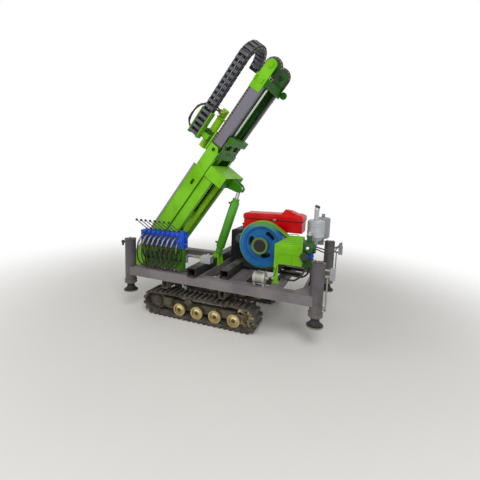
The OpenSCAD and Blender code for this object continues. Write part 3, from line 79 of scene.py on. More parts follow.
def linear(hexcode):
    """Linear colour of an sRGB hex value."""
    out = []
    for i in (0, 2, 4):
        c = int(hexcode[i:i + 2], 16) / 255
        out.append(c / 12.92 if c <= 0.04045 else ((c + 0.055) / 1.055) ** 2.4)
    return (*out, 1)


def dimmed(colour, share):
    """The colour with only that share of its light."""
    return tuple(c * share for c in colour[:3]) + (1,)


def scale_for(size_mm):
    """Scale of a cloudy pattern whose patches are about that many millimetres across."""
    return 1000 / size_mm


def feed(tree, socket, value):
    """Gives a socket its value, or links it to the socket that feeds it."""
    if isinstance(value, bpy.types.NodeSocket):
        tree.links.new(value, socket)
    else:
        socket.default_value = value


def add(tree, kind, *fed, take=None, **named):
    """Adds one node and gives one of its outputs, the first in use unless take names another.

    What is fed goes to its inputs in order. Names in small letters are settings, those with a capital inputs.
    """
    made = tree.nodes.new("ShaderNode" + kind)
    for key in [name for name in named if name.islower()]:
        setattr(made, key, named.pop(key))
    for socket, value in zip([socket for socket in made.inputs if socket.enabled], fed):
        feed(tree, socket, value)
    for key, value in named.items():
        feed(tree, made.inputs[key.replace("_", " ")], value)
    if take:
        return made.outputs[take]
    return next(socket for socket in made.outputs if socket.enabled)


# Settings of nodes that come up often
SMOOTH = {"interpolation_type": "SMOOTHSTEP"}
COLOURS = {"data_type": "RGBA"}
TIMES = {"operation": "MULTIPLY"}
PLUS = {"operation": "ADD"}
MINUS = {"operation": "SUBTRACT"}
LARGER = {"operation": "MAXIMUM"}
APART = {"operation": "DISTANCE"}


def shade(mat, **named):
    """Sets sockets of the material's shader."""
    for key, value in named.items():
        feed(mat.node_tree, mat.node_tree.nodes["Principled BSDF"].inputs[key.replace("_", " ")], value)


def shaded_point(tree, on_mast=False):
    """The point in metres that patterns read, in the machine's frame or in the leaning mast's."""
    where = add(tree, "TexCoord", take="Object")
    if on_mast:
        where = add(tree, "Mapping", where, PIVOT, (0, LEAN, 0), vector_type="TEXTURE")
    return where


def start_material(name, on_mast=False):
    """New material, its node tree and the point that its patterns read."""
    mat = bpy.data.materials.new(name)
    mat.use_nodes = True
    return mat, mat.node_tree, shaded_point(mat.node_tree, on_mast)


# Width in metres of the band along an edge that rubbing reaches
RUBBED_BAND = 0.003
# Heights in metres between which splashed soil thins out
SPLASHED = (0.15, 0.75)


def edge_mask(tree):
    """1 along outer edges that rubbing reaches, 0 on flats."""
    eased = add(tree, "Bevel", RUBBED_BAND, samples=4)
    same = add(tree, "VectorMath", eased, add(tree, "NewGeometry", take="Normal"), operation="DOT_PRODUCT")
    return add(tree, "Math", 1.0, same, **MINUS)


def up_mask(tree):
    """How far a face looks up, where dust lies."""
    upward = add(tree, "SeparateXYZ", add(tree, "NewGeometry", take="Normal"), take="Z")
    return add(tree, "Math", upward, 0.0, **LARGER)


def lying_dust(tree, patches, low, high, most):
    """Share of dust in patches on the faces that look up, at most the share given last."""
    spread = add(tree, "MapRange", patches, low, high, **SMOOTH)
    return add(tree, "Math", add(tree, "Math", up_mask(tree), spread, **TIMES), most, **TIMES)


DUST = linear("9a8c74")
OIL = linear("15120f")
BROWN_FILM = linear("6b5a48")


def paint(name, hexcode, rough=0.38, dust=0.35, chips=0.5, under="5d4a3c", fade=0.14, coat=0.0, low_dust=0.0,
          gloss=0.2, metal=0.0):
    """Sprayed enamel on steel: a slight orange peel, dust on top faces and chips along the edges.

    The colour "under" shows in the chips, and low_dust is the share of splashed soil near the ground.
    """
    mat, tree, where = start_material(name)
    base = linear(hexcode)
    pale = tuple(min(1, c * 1.12 + 0.02) for c in base[:3]) + (1,)
    cloud = add(tree, "TexNoise", where, scale_for(320), 5, 0.6)
    faded = add(tree, "MapRange", cloud, 0.35, 0.68, **SMOOTH)
    colour = add(tree, "Mix", faded, dimmed(base, 1 - fade), pale, **COLOURS)
    grime = add(tree, "TexNoise", where, scale_for(110), 6, 0.7)
    amount = lying_dust(tree, grime, 0.38, 0.72, dust)
    if low_dust:
        height = add(tree, "SeparateXYZ", where, take="Z")
        above = add(tree, "MapRange", height, *SPLASHED, **SMOOTH)
        near_ground = add(tree, "Math", 1.0, above, **MINUS)
        splashes = add(tree, "MapRange", grime, 0.30, 0.66, **SMOOTH)
        spread = add(tree, "Math", near_ground, splashes, **TIMES)
        amount = add(tree, "Math", amount, add(tree, "Math", spread, low_dust, **TIMES), **LARGER)
    colour = add(tree, "Mix", amount, colour, DUST, **COLOURS)
    flakes = add(tree, "TexNoise", where, scale_for(18), 3, 0.7)
    rubbed = add(tree, "MapRange", edge_mask(tree), 0.02, 0.2, **SMOOTH)
    chipped = add(tree, "Math", rubbed, add(tree, "MapRange", flakes, 0.50, 0.58, **SMOOTH), **TIMES)
    chipped = add(tree, "Math", chipped, chips, **TIMES)
    colour = add(tree, "Mix", chipped, colour, linear(under), **COLOURS)
    uneven = add(tree, "Math", add(tree, "Math", grime, 0.16, **TIMES), rough - 0.08, **PLUS)
    dull = add(tree, "Math", uneven, add(tree, "Math", amount, 0.4, **TIMES), **PLUS)
    # Real orange peel, 1 to 2 mm wide, wouldn't show from here, so it is drawn at 4 mm
    peel = add(tree, "TexNoise", where, scale_for(4), 2, 0.6)
    shade(mat, Base_Color=colour, Roughness=dull, Specular_IOR_Level=gloss, Metallic=metal, Coat_Weight=coat,
          Coat_Roughness=0.25, Normal=add(tree, "Bump", 0.10, 0.0006, Height=peel))
    return mat


def steel(name, hexcode, rough=0.3, stained=0.3, grain_mm=(25, 25, 5 / 3), on_mast=True):
    """Bare or plated steel: a streaked or mottled shine under a thin brown film in patches.

    The grain is the pattern's size along each axis, so the default gives fine streaks across the mast.
    Real ones are under 0.1 mm wide and wouldn't show from here, so they are drawn at 1.7 mm.
    """
    mat, tree, where = start_material(name, on_mast)
    base = linear(hexcode)
    drawn = add(tree, "Mapping", where, Scale=[scale_for(size) for size in grain_mm])
    scratch = add(tree, "TexNoise", drawn, 1.0, 3, 0.7)
    film = add(tree, "TexNoise", where, scale_for(165), 6, 0.7)
    bright = add(tree, "MapRange", scratch, 0.3, 0.7, **SMOOTH)
    colour = add(tree, "Mix", bright, dimmed(base, 0.78), base, **COLOURS)
    browned = add(tree, "Math", add(tree, "MapRange", film, 0.45, 0.75, **SMOOTH), stained, **TIMES)
    colour = add(tree, "Mix", browned, colour, BROWN_FILM, **COLOURS)
    dull = add(tree, "Math", add(tree, "Math", film, 0.25, **TIMES), rough - 0.1, **PLUS)
    shade(mat, Base_Color=colour, Metallic=1.0, Roughness=dull,
          Normal=add(tree, "Bump", 0.08, 0.0004, Height=scratch))
    return mat


def rubber(name, hexcode, dust=0.5, rough=0.75, soil=DUST):
    """Moulded rubber: dull and near black, grey with dust where it looks up and in its hollows."""
    mat, tree, where = start_material(name)
    base = linear(hexcode)
    grime = add(tree, "TexNoise", where, scale_for(70), 6, 0.7)
    fine = add(tree, "TexNoise", where, scale_for(8), 3, 0.6)
    raised = add(tree, "MapRange", fine, 0.35, 0.65, **SMOOTH)
    colour = add(tree, "Mix", raised, dimmed(base, 0.7), base, **COLOURS)
    lying = add(tree, "Math", up_mask(tree), 0.6, 0.4, operation="MULTIPLY_ADD")
    patches = add(tree, "MapRange", grime, 0.35, 0.7, **SMOOTH)
    amount = add(tree, "Math", add(tree, "Math", patches, lying, **TIMES), dust, **TIMES)
    shade(mat, Base_Color=add(tree, "Mix", amount, colour, soil, **COLOURS), Roughness=rough,
          Specular_IOR_Level=0.3, Normal=add(tree, "Bump", 0.25, 0.0008, Height=fine))
    return mat


def cast(name, hexcode, rough=0.6, oil=0.5, metal=0.0, dust=0.4):
    """Sand-cast skin: a pitted grain, smooth and dark where oil has soaked in, dusty on top."""
    mat, tree, where = start_material(name)
    base = linear(hexcode)
    # Sand grit of under 1 mm wouldn't show from here, so it is drawn at 5.5 mm
    skin = add(tree, "TexNoise", where, scale_for(5.5), 4, 0.6)
    patches = add(tree, "TexNoise", where, scale_for(125), 5, 0.65)
    wet = add(tree, "MapRange", patches, 0.45, 0.7, **SMOOTH)
    raised = add(tree, "MapRange", skin, 0.3, 0.7, **SMOOTH)
    colour = add(tree, "Mix", raised, dimmed(base, 0.75), base, **COLOURS)
    colour = add(tree, "Mix", add(tree, "Math", wet, oil, **TIMES), colour, OIL, **COLOURS)
    amount = lying_dust(tree, patches, 0.3, 0.6, dust)
    dull = add(tree, "Math", rough, add(tree, "Math", wet, 0.2, **TIMES), **MINUS)
    shade(mat, Base_Color=add(tree, "Mix", amount, colour, DUST, **COLOURS), Metallic=metal, Roughness=dull,
          Normal=add(tree, "Bump", 0.3, 0.0008, Height=skin))
    return mat


def plastic(name, hexcode, rough=0.45, dust=0.25):
    """Moulded nylon: an even satin skin with a fine grain, and dust on its upper faces."""
    mat, tree, where = start_material(name)
    grime = add(tree, "TexNoise", where, scale_for(55), 5, 0.7)
    # The moulded grain of under 1 mm wouldn't show from here, so it is drawn at 2.5 mm
    grain = add(tree, "TexNoise", where, scale_for(2.5), 2, 0.5)
    amount = lying_dust(tree, grime, 0.35, 0.7, dust)
    dull = add(tree, "Math", add(tree, "Math", grime, 0.25, **TIMES), rough - 0.12, **PLUS)
    shade(mat, Base_Color=add(tree, "Mix", amount, linear(hexcode), DUST, **COLOURS), Roughness=dull,
          Normal=add(tree, "Bump", 0.12, 0.0004, Height=grain))
    return mat


def cover(mat, amount, hexcode):
    """Lays a second colour over the material's own."""
    tree = mat.node_tree
    first = tree.nodes["Principled BSDF"].inputs["Base Color"].links[0].from_socket
    shade(mat, Base_Color=add(tree, "Mix", amount, first, linear(hexcode), **COLOURS))


def two_tone(mat, hexcode, limits, on_mast=False, metal=None):
    """A second colour inside limits, each an axis, a comparison and metres.

    The axis "side" is the distance from the middle plane. If metal is given, the rest is that metallic.
    """
    tree = mat.node_tree
    parts = add(tree, "SeparateXYZ", shaded_point(tree, on_mast)).node.outputs
    inside = 1.0
    for axis, comparison, metres in limits:
        value = add(tree, "Math", parts["Y"], operation="ABSOLUTE") if axis == "side" else parts[axis]
        within = add(tree, "Math", value, metres, operation=comparison)
        inside = add(tree, "Math", inside, within, **TIMES)
    cover(mat, inside, hexcode)
    if metal is not None:
        shade(mat, Metallic=add(tree, "Math", add(tree, "Math", metal, inside, **MINUS), 0.0, **LARGER))


def oversprayed(mat, hexcode, middle, inner, outer, axle, rim):
    """Loose spray on a wheel's rim, whole inside the inner distance from a point, gone at the outer one."""
    tree = mat.node_tree
    where = shaded_point(tree)
    away = add(tree, "VectorMath", where, middle, **APART)
    speckle = add(tree, "TexNoise", where, scale_for(33), 4, 0.6)
    ragged = add(tree, "Math", speckle, -0.10, away, operation="MULTIPLY_ADD")
    bare = add(tree, "MapRange", ragged, inner - 0.05, outer - 0.05, **SMOOTH)
    across = add(tree, "Mapping", where, Scale=(1, 0, 1))
    from_axle = add(tree, "VectorMath", across, axle, **APART)
    on_rim = add(tree, "MapRange", from_axle, rim, rim + 0.012, **SMOOTH)
    amount = add(tree, "Math", add(tree, "Math", 1.0, bare, **MINUS), on_rim, **TIMES)
    cover(mat, add(tree, "Math", amount, 0.75, **TIMES), hexcode)


# Limits in metres between two colours, all but the foot's in the mast's frame
FOOT_TOP = 0.2395
INNER_FLANK = 0.2352
INNER_FRONT = -0.1785
INNER_BACK = -0.0825
# The limits behind the head, the collar and the bracket mark where their green is darkened as painted shade
HEAD_SHADE_X = INNER_BACK + 0.0005
# Part of the inner mast seen only through the outer mast's slots, darkened below this height as painted shade
INNER_SHADED_BELOW = 1.475
COLLAR_SHADE_X = -0.064
BRACKET_SHADE_X = 0.1645
HEAD_FRONT = -0.226
# How metallic the rubbed steel looks, as old grease dulls it
BARE_METAL = 0.55

# Sizes in mm that the small pieces share with what carries them. An axle or axis is given by the two
# coordinates across it, and OUT is how far a hub stands out from the middle of its track.
JACKS = [(x, y) for x in (-1000, 1000) for y in (-488, 488)]
JACK_TOP = 805
TRACK_MID = 394
WHEELS = [-396 + 205 * k for k in range(4)]
WHEEL_Z = 102
WHEEL_OUT = 78
IDLER = (334.5, 138.5)
SPROCKET = (-701.5, 138.5)
# Valve bank: its end and near face, foot and sections, then the bonnets on its face and on its other end
BANK = {"x0": -868, "y": -450, "z": 756, "pitch": 58, "count": 8}
BANK_CAP_Z = 892
BANK_END_X = -358
PIPE_AXIS = (-300, 648)
# Tilt cylinder: its lower eye, the way that it points, and the radius of its wall
TILT_EYE = Vector((-190, 0, 600))
TILT_AIM = Vector((250.4, 0, 773.4)).normalized()
TILT_WALL = 49
# Flywheel: its axle, and the y from which the steps of its hub are counted
FLY = (387, 831)
FLY_HUB_Y = -190
# In the mast's frame, where x runs from its front to its back and z up along it
HEAD_SHAFT = (-135, 2370)
FEED_CHAIN_Y = 165
HEAD_CHEEK = 235.7
MAST_FLANK = 242
COLLAR_REAR = -58
CARRIAGE_FRONT = -254
GEARBOX_TOP = (-370, 1506)
MOTOR_PORT = (-385, -93, 1729)
# The x of each side of the trough, and the way that it faces
TROUGH_SIDES = ((-504, -1), (-372, 1))
# On the tank, the engine and the pump
TANK_SEAM = (1068, 1076)
TANK_FRONT = -18
FILLER = (560, 95, 1108)
CLEANER = (892, 20)
HEAD_COVER_X = 794
ROUND_COVER_Y = 265
LONG_COVER_Y = 260
LOW_COVER_Y = 274
GUARD_FACE = -338
PUMP_X = 874

GREEN = "76c008"
looks = {
    # Enamel sprayed on plate: bright and even, dusty on top, rubbed through at some edges
    "green": paint("lime enamel", GREEN, rough=0.36, dust=0.2, chips=0.35),
    # Lighter lime: painted light standing in for sunlight on the slide barrel and the motor, and the
    # spindle's lime
    "lime_with_painted_light": paint("lime enamel, lightened as painted light", "a2e016", rough=0.34, dust=0.1, chips=0.2),
    "head_green": paint("lime enamel of the head", GREEN, rough=0.5, dust=0.2, chips=0.35, gloss=0.12),
    "collar_green": paint("lime enamel of the outer mast", GREEN, rough=0.42, dust=0.2, chips=0.35,
                          gloss=0.15),
    "bracket_green": paint("lime enamel of the tilt frame", GREEN, rough=0.42, dust=0.2, chips=0.35,
                           gloss=0.15),
    "dark_green": paint("dark green enamel", "24561f", rough=0.42, dust=0.3, chips=0.4),
    # Darker base green on the valve stand is painted shade; its patches vary at random
    "stand_green": paint("green enamel, darkened as painted shade", "4f9a14", rough=0.5, dust=0.3, chips=0.6, fade=0.45),
    # Darker green on the tilt cylinder is painted shade
    "cylinder_green": paint("mid green enamel", "4a9e14", rough=0.32, dust=0.15, chips=0.3, coat=0.3),
    "tank_red": paint("red enamel", "cb0206", rough=0.34, dust=0.06, chips=0.1, fade=0.05, gloss=0.12),
    # Dark red on the tank's seam is painted shade along its crease
    "seam_red": paint("red enamel, darkened as painted shade", "7c0a10", rough=0.4, dust=0.2, chips=0.2),
    "fly_blue": paint("blue enamel", "1268a6", rough=0.34, dust=0.12, chips=0.35),
    "valve_blue": paint("valve blue enamel", "0b4cc4", rough=0.3, dust=0.1, chips=0.15, coat=0.1),
    # Enamel near the ground: duller, with dust splashed up from below
    # Pale chips along the rails' edges and dust on top are partly real wear and partly a painted highlight on
    # their top edges
    "rail_grey": paint("grey enamel, weathered, with a painted highlight", "736e73", rough=0.5, dust=0.5, chips=0.9, under="b9b4b0",
                       low_dust=0.3),
    "jack_grey": paint("dark grey enamel", "5b575c", rough=0.45, dust=0.35, chips=0.5, under="8a6f66",
                       low_dust=0.4),
    "undercarriage": paint("dusty black enamel", "2f2e2a", rough=0.6, dust=0.45, chips=0.4, low_dust=0.4),
    "black_paint": paint("black enamel", "242426", rough=0.45, dust=0.4, chips=0.6, under="6a4a38"),
    "leg_black": paint("black enamel of the legs", "2b2829", rough=0.55, dust=0.5, chips=0.6, gloss=0.15),
    # Thin coats: overspray that lets rust through, and spray on rubber that doesn't chip
    "olive_green": paint("thin green spray on rust", "6a8a2a", rough=0.6, dust=0.3, chips=0.8,
                         under="4a4030"),
    "belt_rubber": paint("belt with green overspray", "6cae22", rough=0.6, dust=0.2, chips=0.0),
    # Paint with metal flakes: a pale sheen with soft reflections
    "silver_paint": paint("aluminium paint", "b3b6b9", rough=0.42, dust=0.15, chips=0.1, gloss=0.5,
                          metal=0.45),
    # Darker silver on the muffler is painted shade that parts it from the air cleaner's can, which has the
    # same paint
    "muffler_silver": paint("aluminium paint, darkened as painted shade", "8b8e91", rough=0.45, dust=0.2, chips=0.2,
                            gloss=0.5, metal=0.45),
    # Rubber: track lugs pale with dry soil, hose covers cleaner and a little shiny
    "track_rubber": rubber("track rubber", "3d3a36", dust=0.7, soil=linear("8b8073")),
    "hose_rubber": rubber("hose cover", "232322", dust=0.3, rough=0.5),
    # Castings: a grainy skin, from bare and silvery to black with oil
    "olive": cast("olive casting", "54543f", rough=0.7, oil=0.3, dust=0.5),
    "engine_dark": cast("engine casting", "2e3a40", rough=0.5, oil=0.55, dust=0.3),
    "bare_aluminium": cast("cast aluminium", "b7b6ae", rough=0.45, oil=0.25, metal=0.6, dust=0.3),
    "jack_fittings": cast("fittings, aluminium paint", "a4a7aa", rough=0.42, oil=0.05, metal=0.5, dust=0.15),
    "chain_steel": cast("oily chain plates", "3a3630", rough=0.45, oil=0.6, metal=0.5, dust=0.15),
    "rusty": cast("rusty steel", "5f3d2a", rough=0.75, oil=0.2, metal=0.2, dust=0.35),
    # Near black disc inside the flywheel's hub ring: painted shade in its open bore
    "bore_dark": cast("bore, black as painted shade", "0b0b0a", rough=0.7, oil=0.5, dust=0.03),
    # Bare steel of the mast: fine streaks across it, from mirror bright to grey under the brown film
    "bright_steel": steel("polished steel", "d8d8d6", rough=0.2, stained=0.12),
    "worn_steel": steel("rubbed mast steel", "77747f", rough=0.46, stained=0.25),
    "strip_steel": steel("guide strip, drawn steel", "8d8b90", rough=0.4, stained=0.2),
    "chain_rollers": steel("oily chain rollers", "6f6a5e", rough=0.4, stained=0.5),
    # Plated steel: evenly mottled, silver for nickel and straw coloured or dull for zinc
    "chrome": steel("nickel plate", "c9cacb", rough=0.26, stained=0.15, grain_mm=(12.5, 12.5, 12.5),
                    on_mast=False),
    "zinc_yellow": steel("yellow zinc plate", "cfc08a", rough=0.4, stained=0.4,
                         grain_mm=(50 / 3, 50 / 3, 50 / 3), on_mast=False),
    "ferrule_zinc": steel("hose ferrules, zinc plate", "8d8360", rough=0.34, stained=0.35,
                          grain_mm=(12.5, 12.5, 12.5), on_mast=False),
    # Nylon: satin, black on the covers and grey on the energy chain
    "black_plastic": plastic("black nylon", "26262c"),
    "chain_nylon": plastic("grey nylon", "4c4f58", rough=0.42, dust=0.2),
}
# The inner mast is rubbed bright where it slides; lower down it is darkened as painted shade where the outer
# mast's slots show it
two_tone(looks["worn_steel"], "35501c", [("Z", "LESS_THAN", INNER_SHADED_BELOW)], on_mast=True)
# Green paint between the flanks, made dark green as painted shade inside the channels; the back edges stay
# bare steel
two_tone(looks["worn_steel"], "2f7a1c", [("side", "LESS_THAN", INNER_FLANK),
                                         ("X", "GREATER_THAN", INNER_FRONT), ("X", "LESS_THAN", INNER_BACK)],
         on_mast=True, metal=BARE_METAL)
oversprayed(looks["fly_blue"], "5f9e2c", middle=(0.40, -0.185, 1.065), inner=0.08, outer=0.19,
            axle=(FLY[0] * MM, 0, FLY[1] * MM), rim=0.186)
# Black elbows on the mast end's jacks, and pale dry soil on the foot pads
two_tone(looks["jack_fittings"], "232325", [("X", "LESS_THAN", 0.0)])
two_tone(looks["leg_black"], "8a8272", [("Z", "LESS_THAN", FOOT_TOP)])
# A black arm under the chain's upper end, and darker green on the plates behind the head, the collar and the
# bracket as painted shade, where they face away from the light
two_tone(looks["head_green"], "26282a", [("X", "LESS_THAN", HEAD_FRONT)], on_mast=True)
two_tone(looks["head_green"], "1f6208", [("X", "GREATER_THAN", HEAD_SHADE_X)], on_mast=True)
two_tone(looks["collar_green"], "2f7408", [("X", "GREATER_THAN", COLLAR_SHADE_X)], on_mast=True)
two_tone(looks["bracket_green"], "357a0c", [("X", "GREATER_THAN", BRACKET_SHADE_X)], on_mast=True)

# The nodes that look different from the rest of their slot
OWN_LOOKS = {
    "guide_strips": "strip_steel",
    "muffler": "muffler_silver",
    "outer_mast": "collar_green",
    "tilt_frame": "bracket_green",
    # The slide barrel and the motor get a lighter lime as painted light
    "slide_barrel": "lime_with_painted_light",
    "jack_lock_valves": "jack_fittings",
    "mast_head": "head_green",
    "valve_stand": "stand_green",
    "tilt_barrel": "cylinder_green",
    "hydraulic_motor": "lime_with_painted_light",
    "spindle": "lime_with_painted_light",
    "steel_pipe": "silver_paint",
    "jack_leg_near_mast": "leg_black",
    "jack_leg_near_engine": "leg_black",
    "jack_leg_far_mast": "leg_black",
    "jack_leg_far_engine": "leg_black",
}
for part in frame["record"]["subparts"]:
    piece = nodes[part["node"]]
    piece.data.materials.clear()
    piece.data.materials.append(looks[OWN_LOOKS.get(part["node"], part["material_slot"])])


def deselect():
    """Leaves nothing selected, so that the next step works on its own piece alone."""
    bpy.ops.object.select_all(action="DESELECT")


def open_mesh():
    """Starts to edit the active piece, with all of it selected."""
    bpy.ops.object.mode_set(mode="EDIT")
    bpy.ops.mesh.select_all(action="SELECT")


def close_mesh(smooth_deg=35):
    """Turns the faces outwards, ends the editing and smooths all edges flatter than the angle."""
    bpy.ops.mesh.select_all(action="SELECT")
    bpy.ops.mesh.normals_make_consistent(inside=False)
    bpy.ops.object.mode_set(mode="OBJECT")
    bpy.ops.object.shade_smooth_by_angle(angle=math.radians(smooth_deg))


def turned(name, steps, sides=24, smooth_deg=35, ring=False):
    """Turned about Z from a list of (radius, height) in mm, bottom first; a ring ends where it starts."""
    deselect()
    first_r, first_h = steps[0]
    fill = "NOTHING" if ring else "NGON"
    bpy.ops.mesh.primitive_circle_add(vertices=sides, radius=first_r * MM, fill_type=fill,
                                      location=(0, 0, first_h * MM))
    piece = bpy.context.object
    piece.name = name
    bpy.ops.object.transform_apply(location=True)
    open_mesh()
    for (r0, h0), (r1, h1) in zip(steps, steps[1:]):
        bpy.ops.mesh.extrude_region_move(TRANSFORM_OT_translate={"value": (0, 0, (h1 - h0) * MM)})
        bpy.ops.transform.resize(value=(r1 / r0, r1 / r0, 1), center_override=(0, 0, h1 * MM))
    if ring:
        bpy.ops.mesh.select_all(action="SELECT")
        bpy.ops.mesh.remove_doubles(threshold=0.1 * MM)
    close_mesh(smooth_deg)
    return piece


def block(name, low, high, bevel=1.5, segments=1):
    """Box between two corners in mm, with its edges eased."""
    deselect()
    middle = [(a + b) / 2 * MM for a, b in zip(low, high)]
    bpy.ops.mesh.primitive_cube_add(size=1, location=middle)
    piece = bpy.context.object
    piece.name = name
    piece.scale = [(b - a) * MM for a, b in zip(low, high)]
    bpy.ops.object.transform_apply(location=True, scale=True)
    open_mesh()
    bpy.ops.mesh.bevel(offset=bevel * MM, segments=segments, affect="EDGES")
    close_mesh()
    return piece


def tube(name, route, radius, per_stretch=4):
    """Round tube drawn along a smooth route in mm."""
    deselect()
    data = bpy.data.curves.new(name, "CURVE")
    data.dimensions = "3D"
    line = data.splines.new("BEZIER")
    line.bezier_points.add(len(route) - 1)
    for point, place in zip(line.bezier_points, route):
        point.co = [v * MM for v in place]
        point.handle_left_type = point.handle_right_type = "AUTO"
    data.resolution_u = per_stretch
    data.bevel_depth = radius * MM
    data.bevel_resolution = 2
    data.use_fill_caps = True
    piece = bpy.data.objects.new(name, data)
    bpy.context.collection.objects.link(piece)
    piece.select_set(True)
    bpy.context.view_layer.objects.active = piece
    bpy.ops.object.convert(target="MESH")
    piece = bpy.context.object
    bpy.ops.object.shade_smooth_by_angle(angle=math.radians(50))
    return piece


def joined(name, pieces):
    """One piece made of several."""
    deselect()
    for piece in pieces:
        piece.select_set(True)
    bpy.context.view_layer.objects.active = pieces[0]
    bpy.ops.object.join()
    piece = bpy.context.object
    piece.name = name
    return piece


def repeated(name, pattern, places):
    """A copy of the pattern at every place, joined; the pattern itself goes."""
    made = []
    for place in places:
        copy = pattern.copy()
        copy.data = pattern.data.copy()
        copy.data.transform(place)
        bpy.context.collection.objects.link(copy)
        made.append(copy)
    bpy.data.objects.remove(pattern)
    return joined(name, made)


def facing(point, direction):
    """Place in mm with Z turned towards a direction."""
    aim = Vector(direction).to_track_quat("Z", "Y").to_matrix().to_4x4()
    return Matrix.Translation(Vector(point) * MM) @ aim


def shifted(x, y, z):
    """Place in mm with nothing turned."""
    return Matrix.Translation(Vector((x, y, z)) * MM)


def on_mast(places):
    """The same places given in the leaning mast's frame."""
    return [MAST @ place for place in places]


def around(radius, count, start_deg=0):
    """Steps in mm from a circle's middle to points evenly spaced on it."""
    angles = [math.radians(start_deg + 360 / count * k) for k in range(count)]
    return [(radius * math.cos(a), radius * math.sin(a)) for a in angles]


def dress(piece, body, look):
    """Gives a finished piece its look and the body that it moves with."""
    piece.data.materials.clear()
    piece.data.materials.append(looks[look])
    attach(piece, body)


def hex_bolt(name, across=17, head=9, washer=3):
    """Bolt head on its washer, standing on the surface it clamps."""
    wide, corner, eased = across * 0.66, across * 0.56, across * 0.47
    top = head + washer
    plate = turned(name + "_washer", [(wide, -0.5), (wide, washer)], 12)
    hexagon = turned(name + "_head", [(corner, washer - 0.5), (corner, top - 2), (eased, top)], 6, 20)
    return joined(name, [plate, hexagon])


FRONT = (0, -1, 0)
BACK = (0, 1, 0)
UP = (0, 0, 1)
DOWN = (0, 0, -1)
ENGINE_END = (1, 0, 0)
MAST_END = (-1, 0, 0)


def make_undercarriage_details():
    """Dished covers and caps on the wheels, and bolts on the plates that carry the travel motors."""
    sides = [(-TRACK_MID, FRONT, -1), (TRACK_MID, BACK, 1)]
    dish_deep, idler_out, plate_out, sprocket_in = 12, 50, 80, 130
    dish = turned("wheel_dish", [(50.5, 0.5), (50.5, 3), (34, 6.5), (28, 12.5), (26.5, 12.5)], 32)
    places = [facing((x, y + s * (WHEEL_OUT - dish_deep), WHEEL_Z), way)
              for x in WHEELS for y, way, s in sides]
    dress(repeated("wheel_dishes", dish, places), "chassis", "zinc_yellow")
    cap = turned("hub_cap", [(21, -0.5), (21, 2), (18, 6), (10, 8.5), (9, 8.5), (7, 5.5)], 20)
    places = [facing((x, y + s * WHEEL_OUT, WHEEL_Z), way) for x in WHEELS for y, way, s in sides]
    places += [facing((IDLER[0], y + s * idler_out, IDLER[1]), way) for y, way, s in sides]
    dress(repeated("hub_caps", cap, places), "chassis", "rusty")
    bolt = hex_bolt("motor_bolt", 13, 7)
    places = []
    for y, way, s in sides:
        places += [facing((x, y + s * plate_out, z), way) for x in (-576, -504) for z in (136, 182)]
        places += [facing((SPROCKET[0] + dx, y - s * sprocket_in, SPROCKET[1] + dz), (0, -s, 0))
                   for dx, dz in around(40, 6, 30)]
    dress(repeated("motor_bolts", bolt, places), "chassis", "rusty")


def make_jack_details():
    """Bolts on the jacks' caps, beads round their collars and nuts on the engine end's two pipes."""
    bolt = hex_bolt("cap_bolt", 13, 7)
    places = [facing((x + dx, y + dy, JACK_TOP), UP) for x, y in JACKS for dx, dy in around(47, 4, 45)]
    dress(repeated("jack_cap_bolts", bolt, places), "chassis", "rusty")
    bead = turned("collar_bead", [(63, -1), (66.5, 1), (66.5, 3), (63, 5)], 40)
    places = [facing((x, y, z), UP) for x, y in JACKS for z in (324, 355)]
    dress(repeated("jack_collar_beads", bead, places), "chassis", "jack_grey")
    for side, (x, y) in zip(("near", "far"), [jack for jack in JACKS if jack[0] > 0]):
        nut = turned("jack_nut", [(12, 0), (12, 12), (10, 14)], 6, 20)
        valve_port, pipe_end = (x + 75, y, 690), (x + 81, y, 392)
        places = [facing(valve_port, MAST_END), facing(pipe_end, DOWN)]
        dress(repeated("jack_pipe_nuts_" + side, nut, places), "chassis", "zinc_yellow")


def bank_x(k):
    """Middle of a section of the valve bank."""
    return BANK["x0"] + (k + 0.5) * BANK["pitch"]


def bank_route(k, row):
    """Start of a hose at a section of the valve bank, as points in mm."""
    x, y, z = bank_x(k), BANK["y"], BANK["z"]
    if row == "upper":
        return [(x - 6, y - 0.3, z + 104), (x - 7, y - 14, z + 104), (x - 16, y - 48, z + 86),
                (x - 27, y - 82, z + 20)]
    return [(x + 8, y - 0.3, z + 44), (x + 8, y - 12, z + 44), (x + 7, y - 34, z + 22),
            (x + 5, y - 40, z - 46)]


def make_bank_details():
    """Nuts and crimped ferrules where the hoses start, round bonnets and small screws on the valve bank."""
    sections = range(BANK["count"])
    for row in ("upper", "lower"):
        ferrules = []
        for k in sections:
            route = bank_route(k, row)
            ferrules.append(tube("sleeve", route, 8.6, 3))
            last, before = Vector(route[-1]), Vector(route[-2])
            crimp = turned("crimp", [(8.5, -46), (10.5, -44), (10.5, -4), (9.5, -2), (9.5, 2), (7.4, 3)], 12)
            crimp.data.transform(facing(last, last - before))
            ferrules.append(crimp)
            nut = turned("hose_nut", [(12, -0.2), (12, 12), (10, 14)], 6, 20)
            nut.data.transform(facing(route[0], FRONT))
            ferrules.append(nut)
        dress(joined("hose_ferrules_" + row, ferrules), "chassis", "ferrule_zinc")
    bonnet = turned("bonnet", [(18, -0.5), (18, 5), (15, 8), (15, 14), (9, 17)], 16)
    places = [facing((bank_x(k), BANK["y"], BANK_CAP_Z), FRONT) for k in sections]
    places += [facing((BANK_END_X, y, z), ENGINE_END) for y, z in ((-428, 878), (-412, 838), (-428, 796))]
    dress(repeated("bank_bonnets", bonnet, places), "chassis", "valve_blue")
    screw = hex_bolt("bank_screw", 10, 6, 2)
    places = [facing((bank_x(k) + dx, BANK["y"], BANK["z"] + dz), FRONT)
              for k in sections for dx, dz in ((14, 74), (-14, 14))]
    dress(repeated("bank_screws", screw, places), "chassis", "chrome")


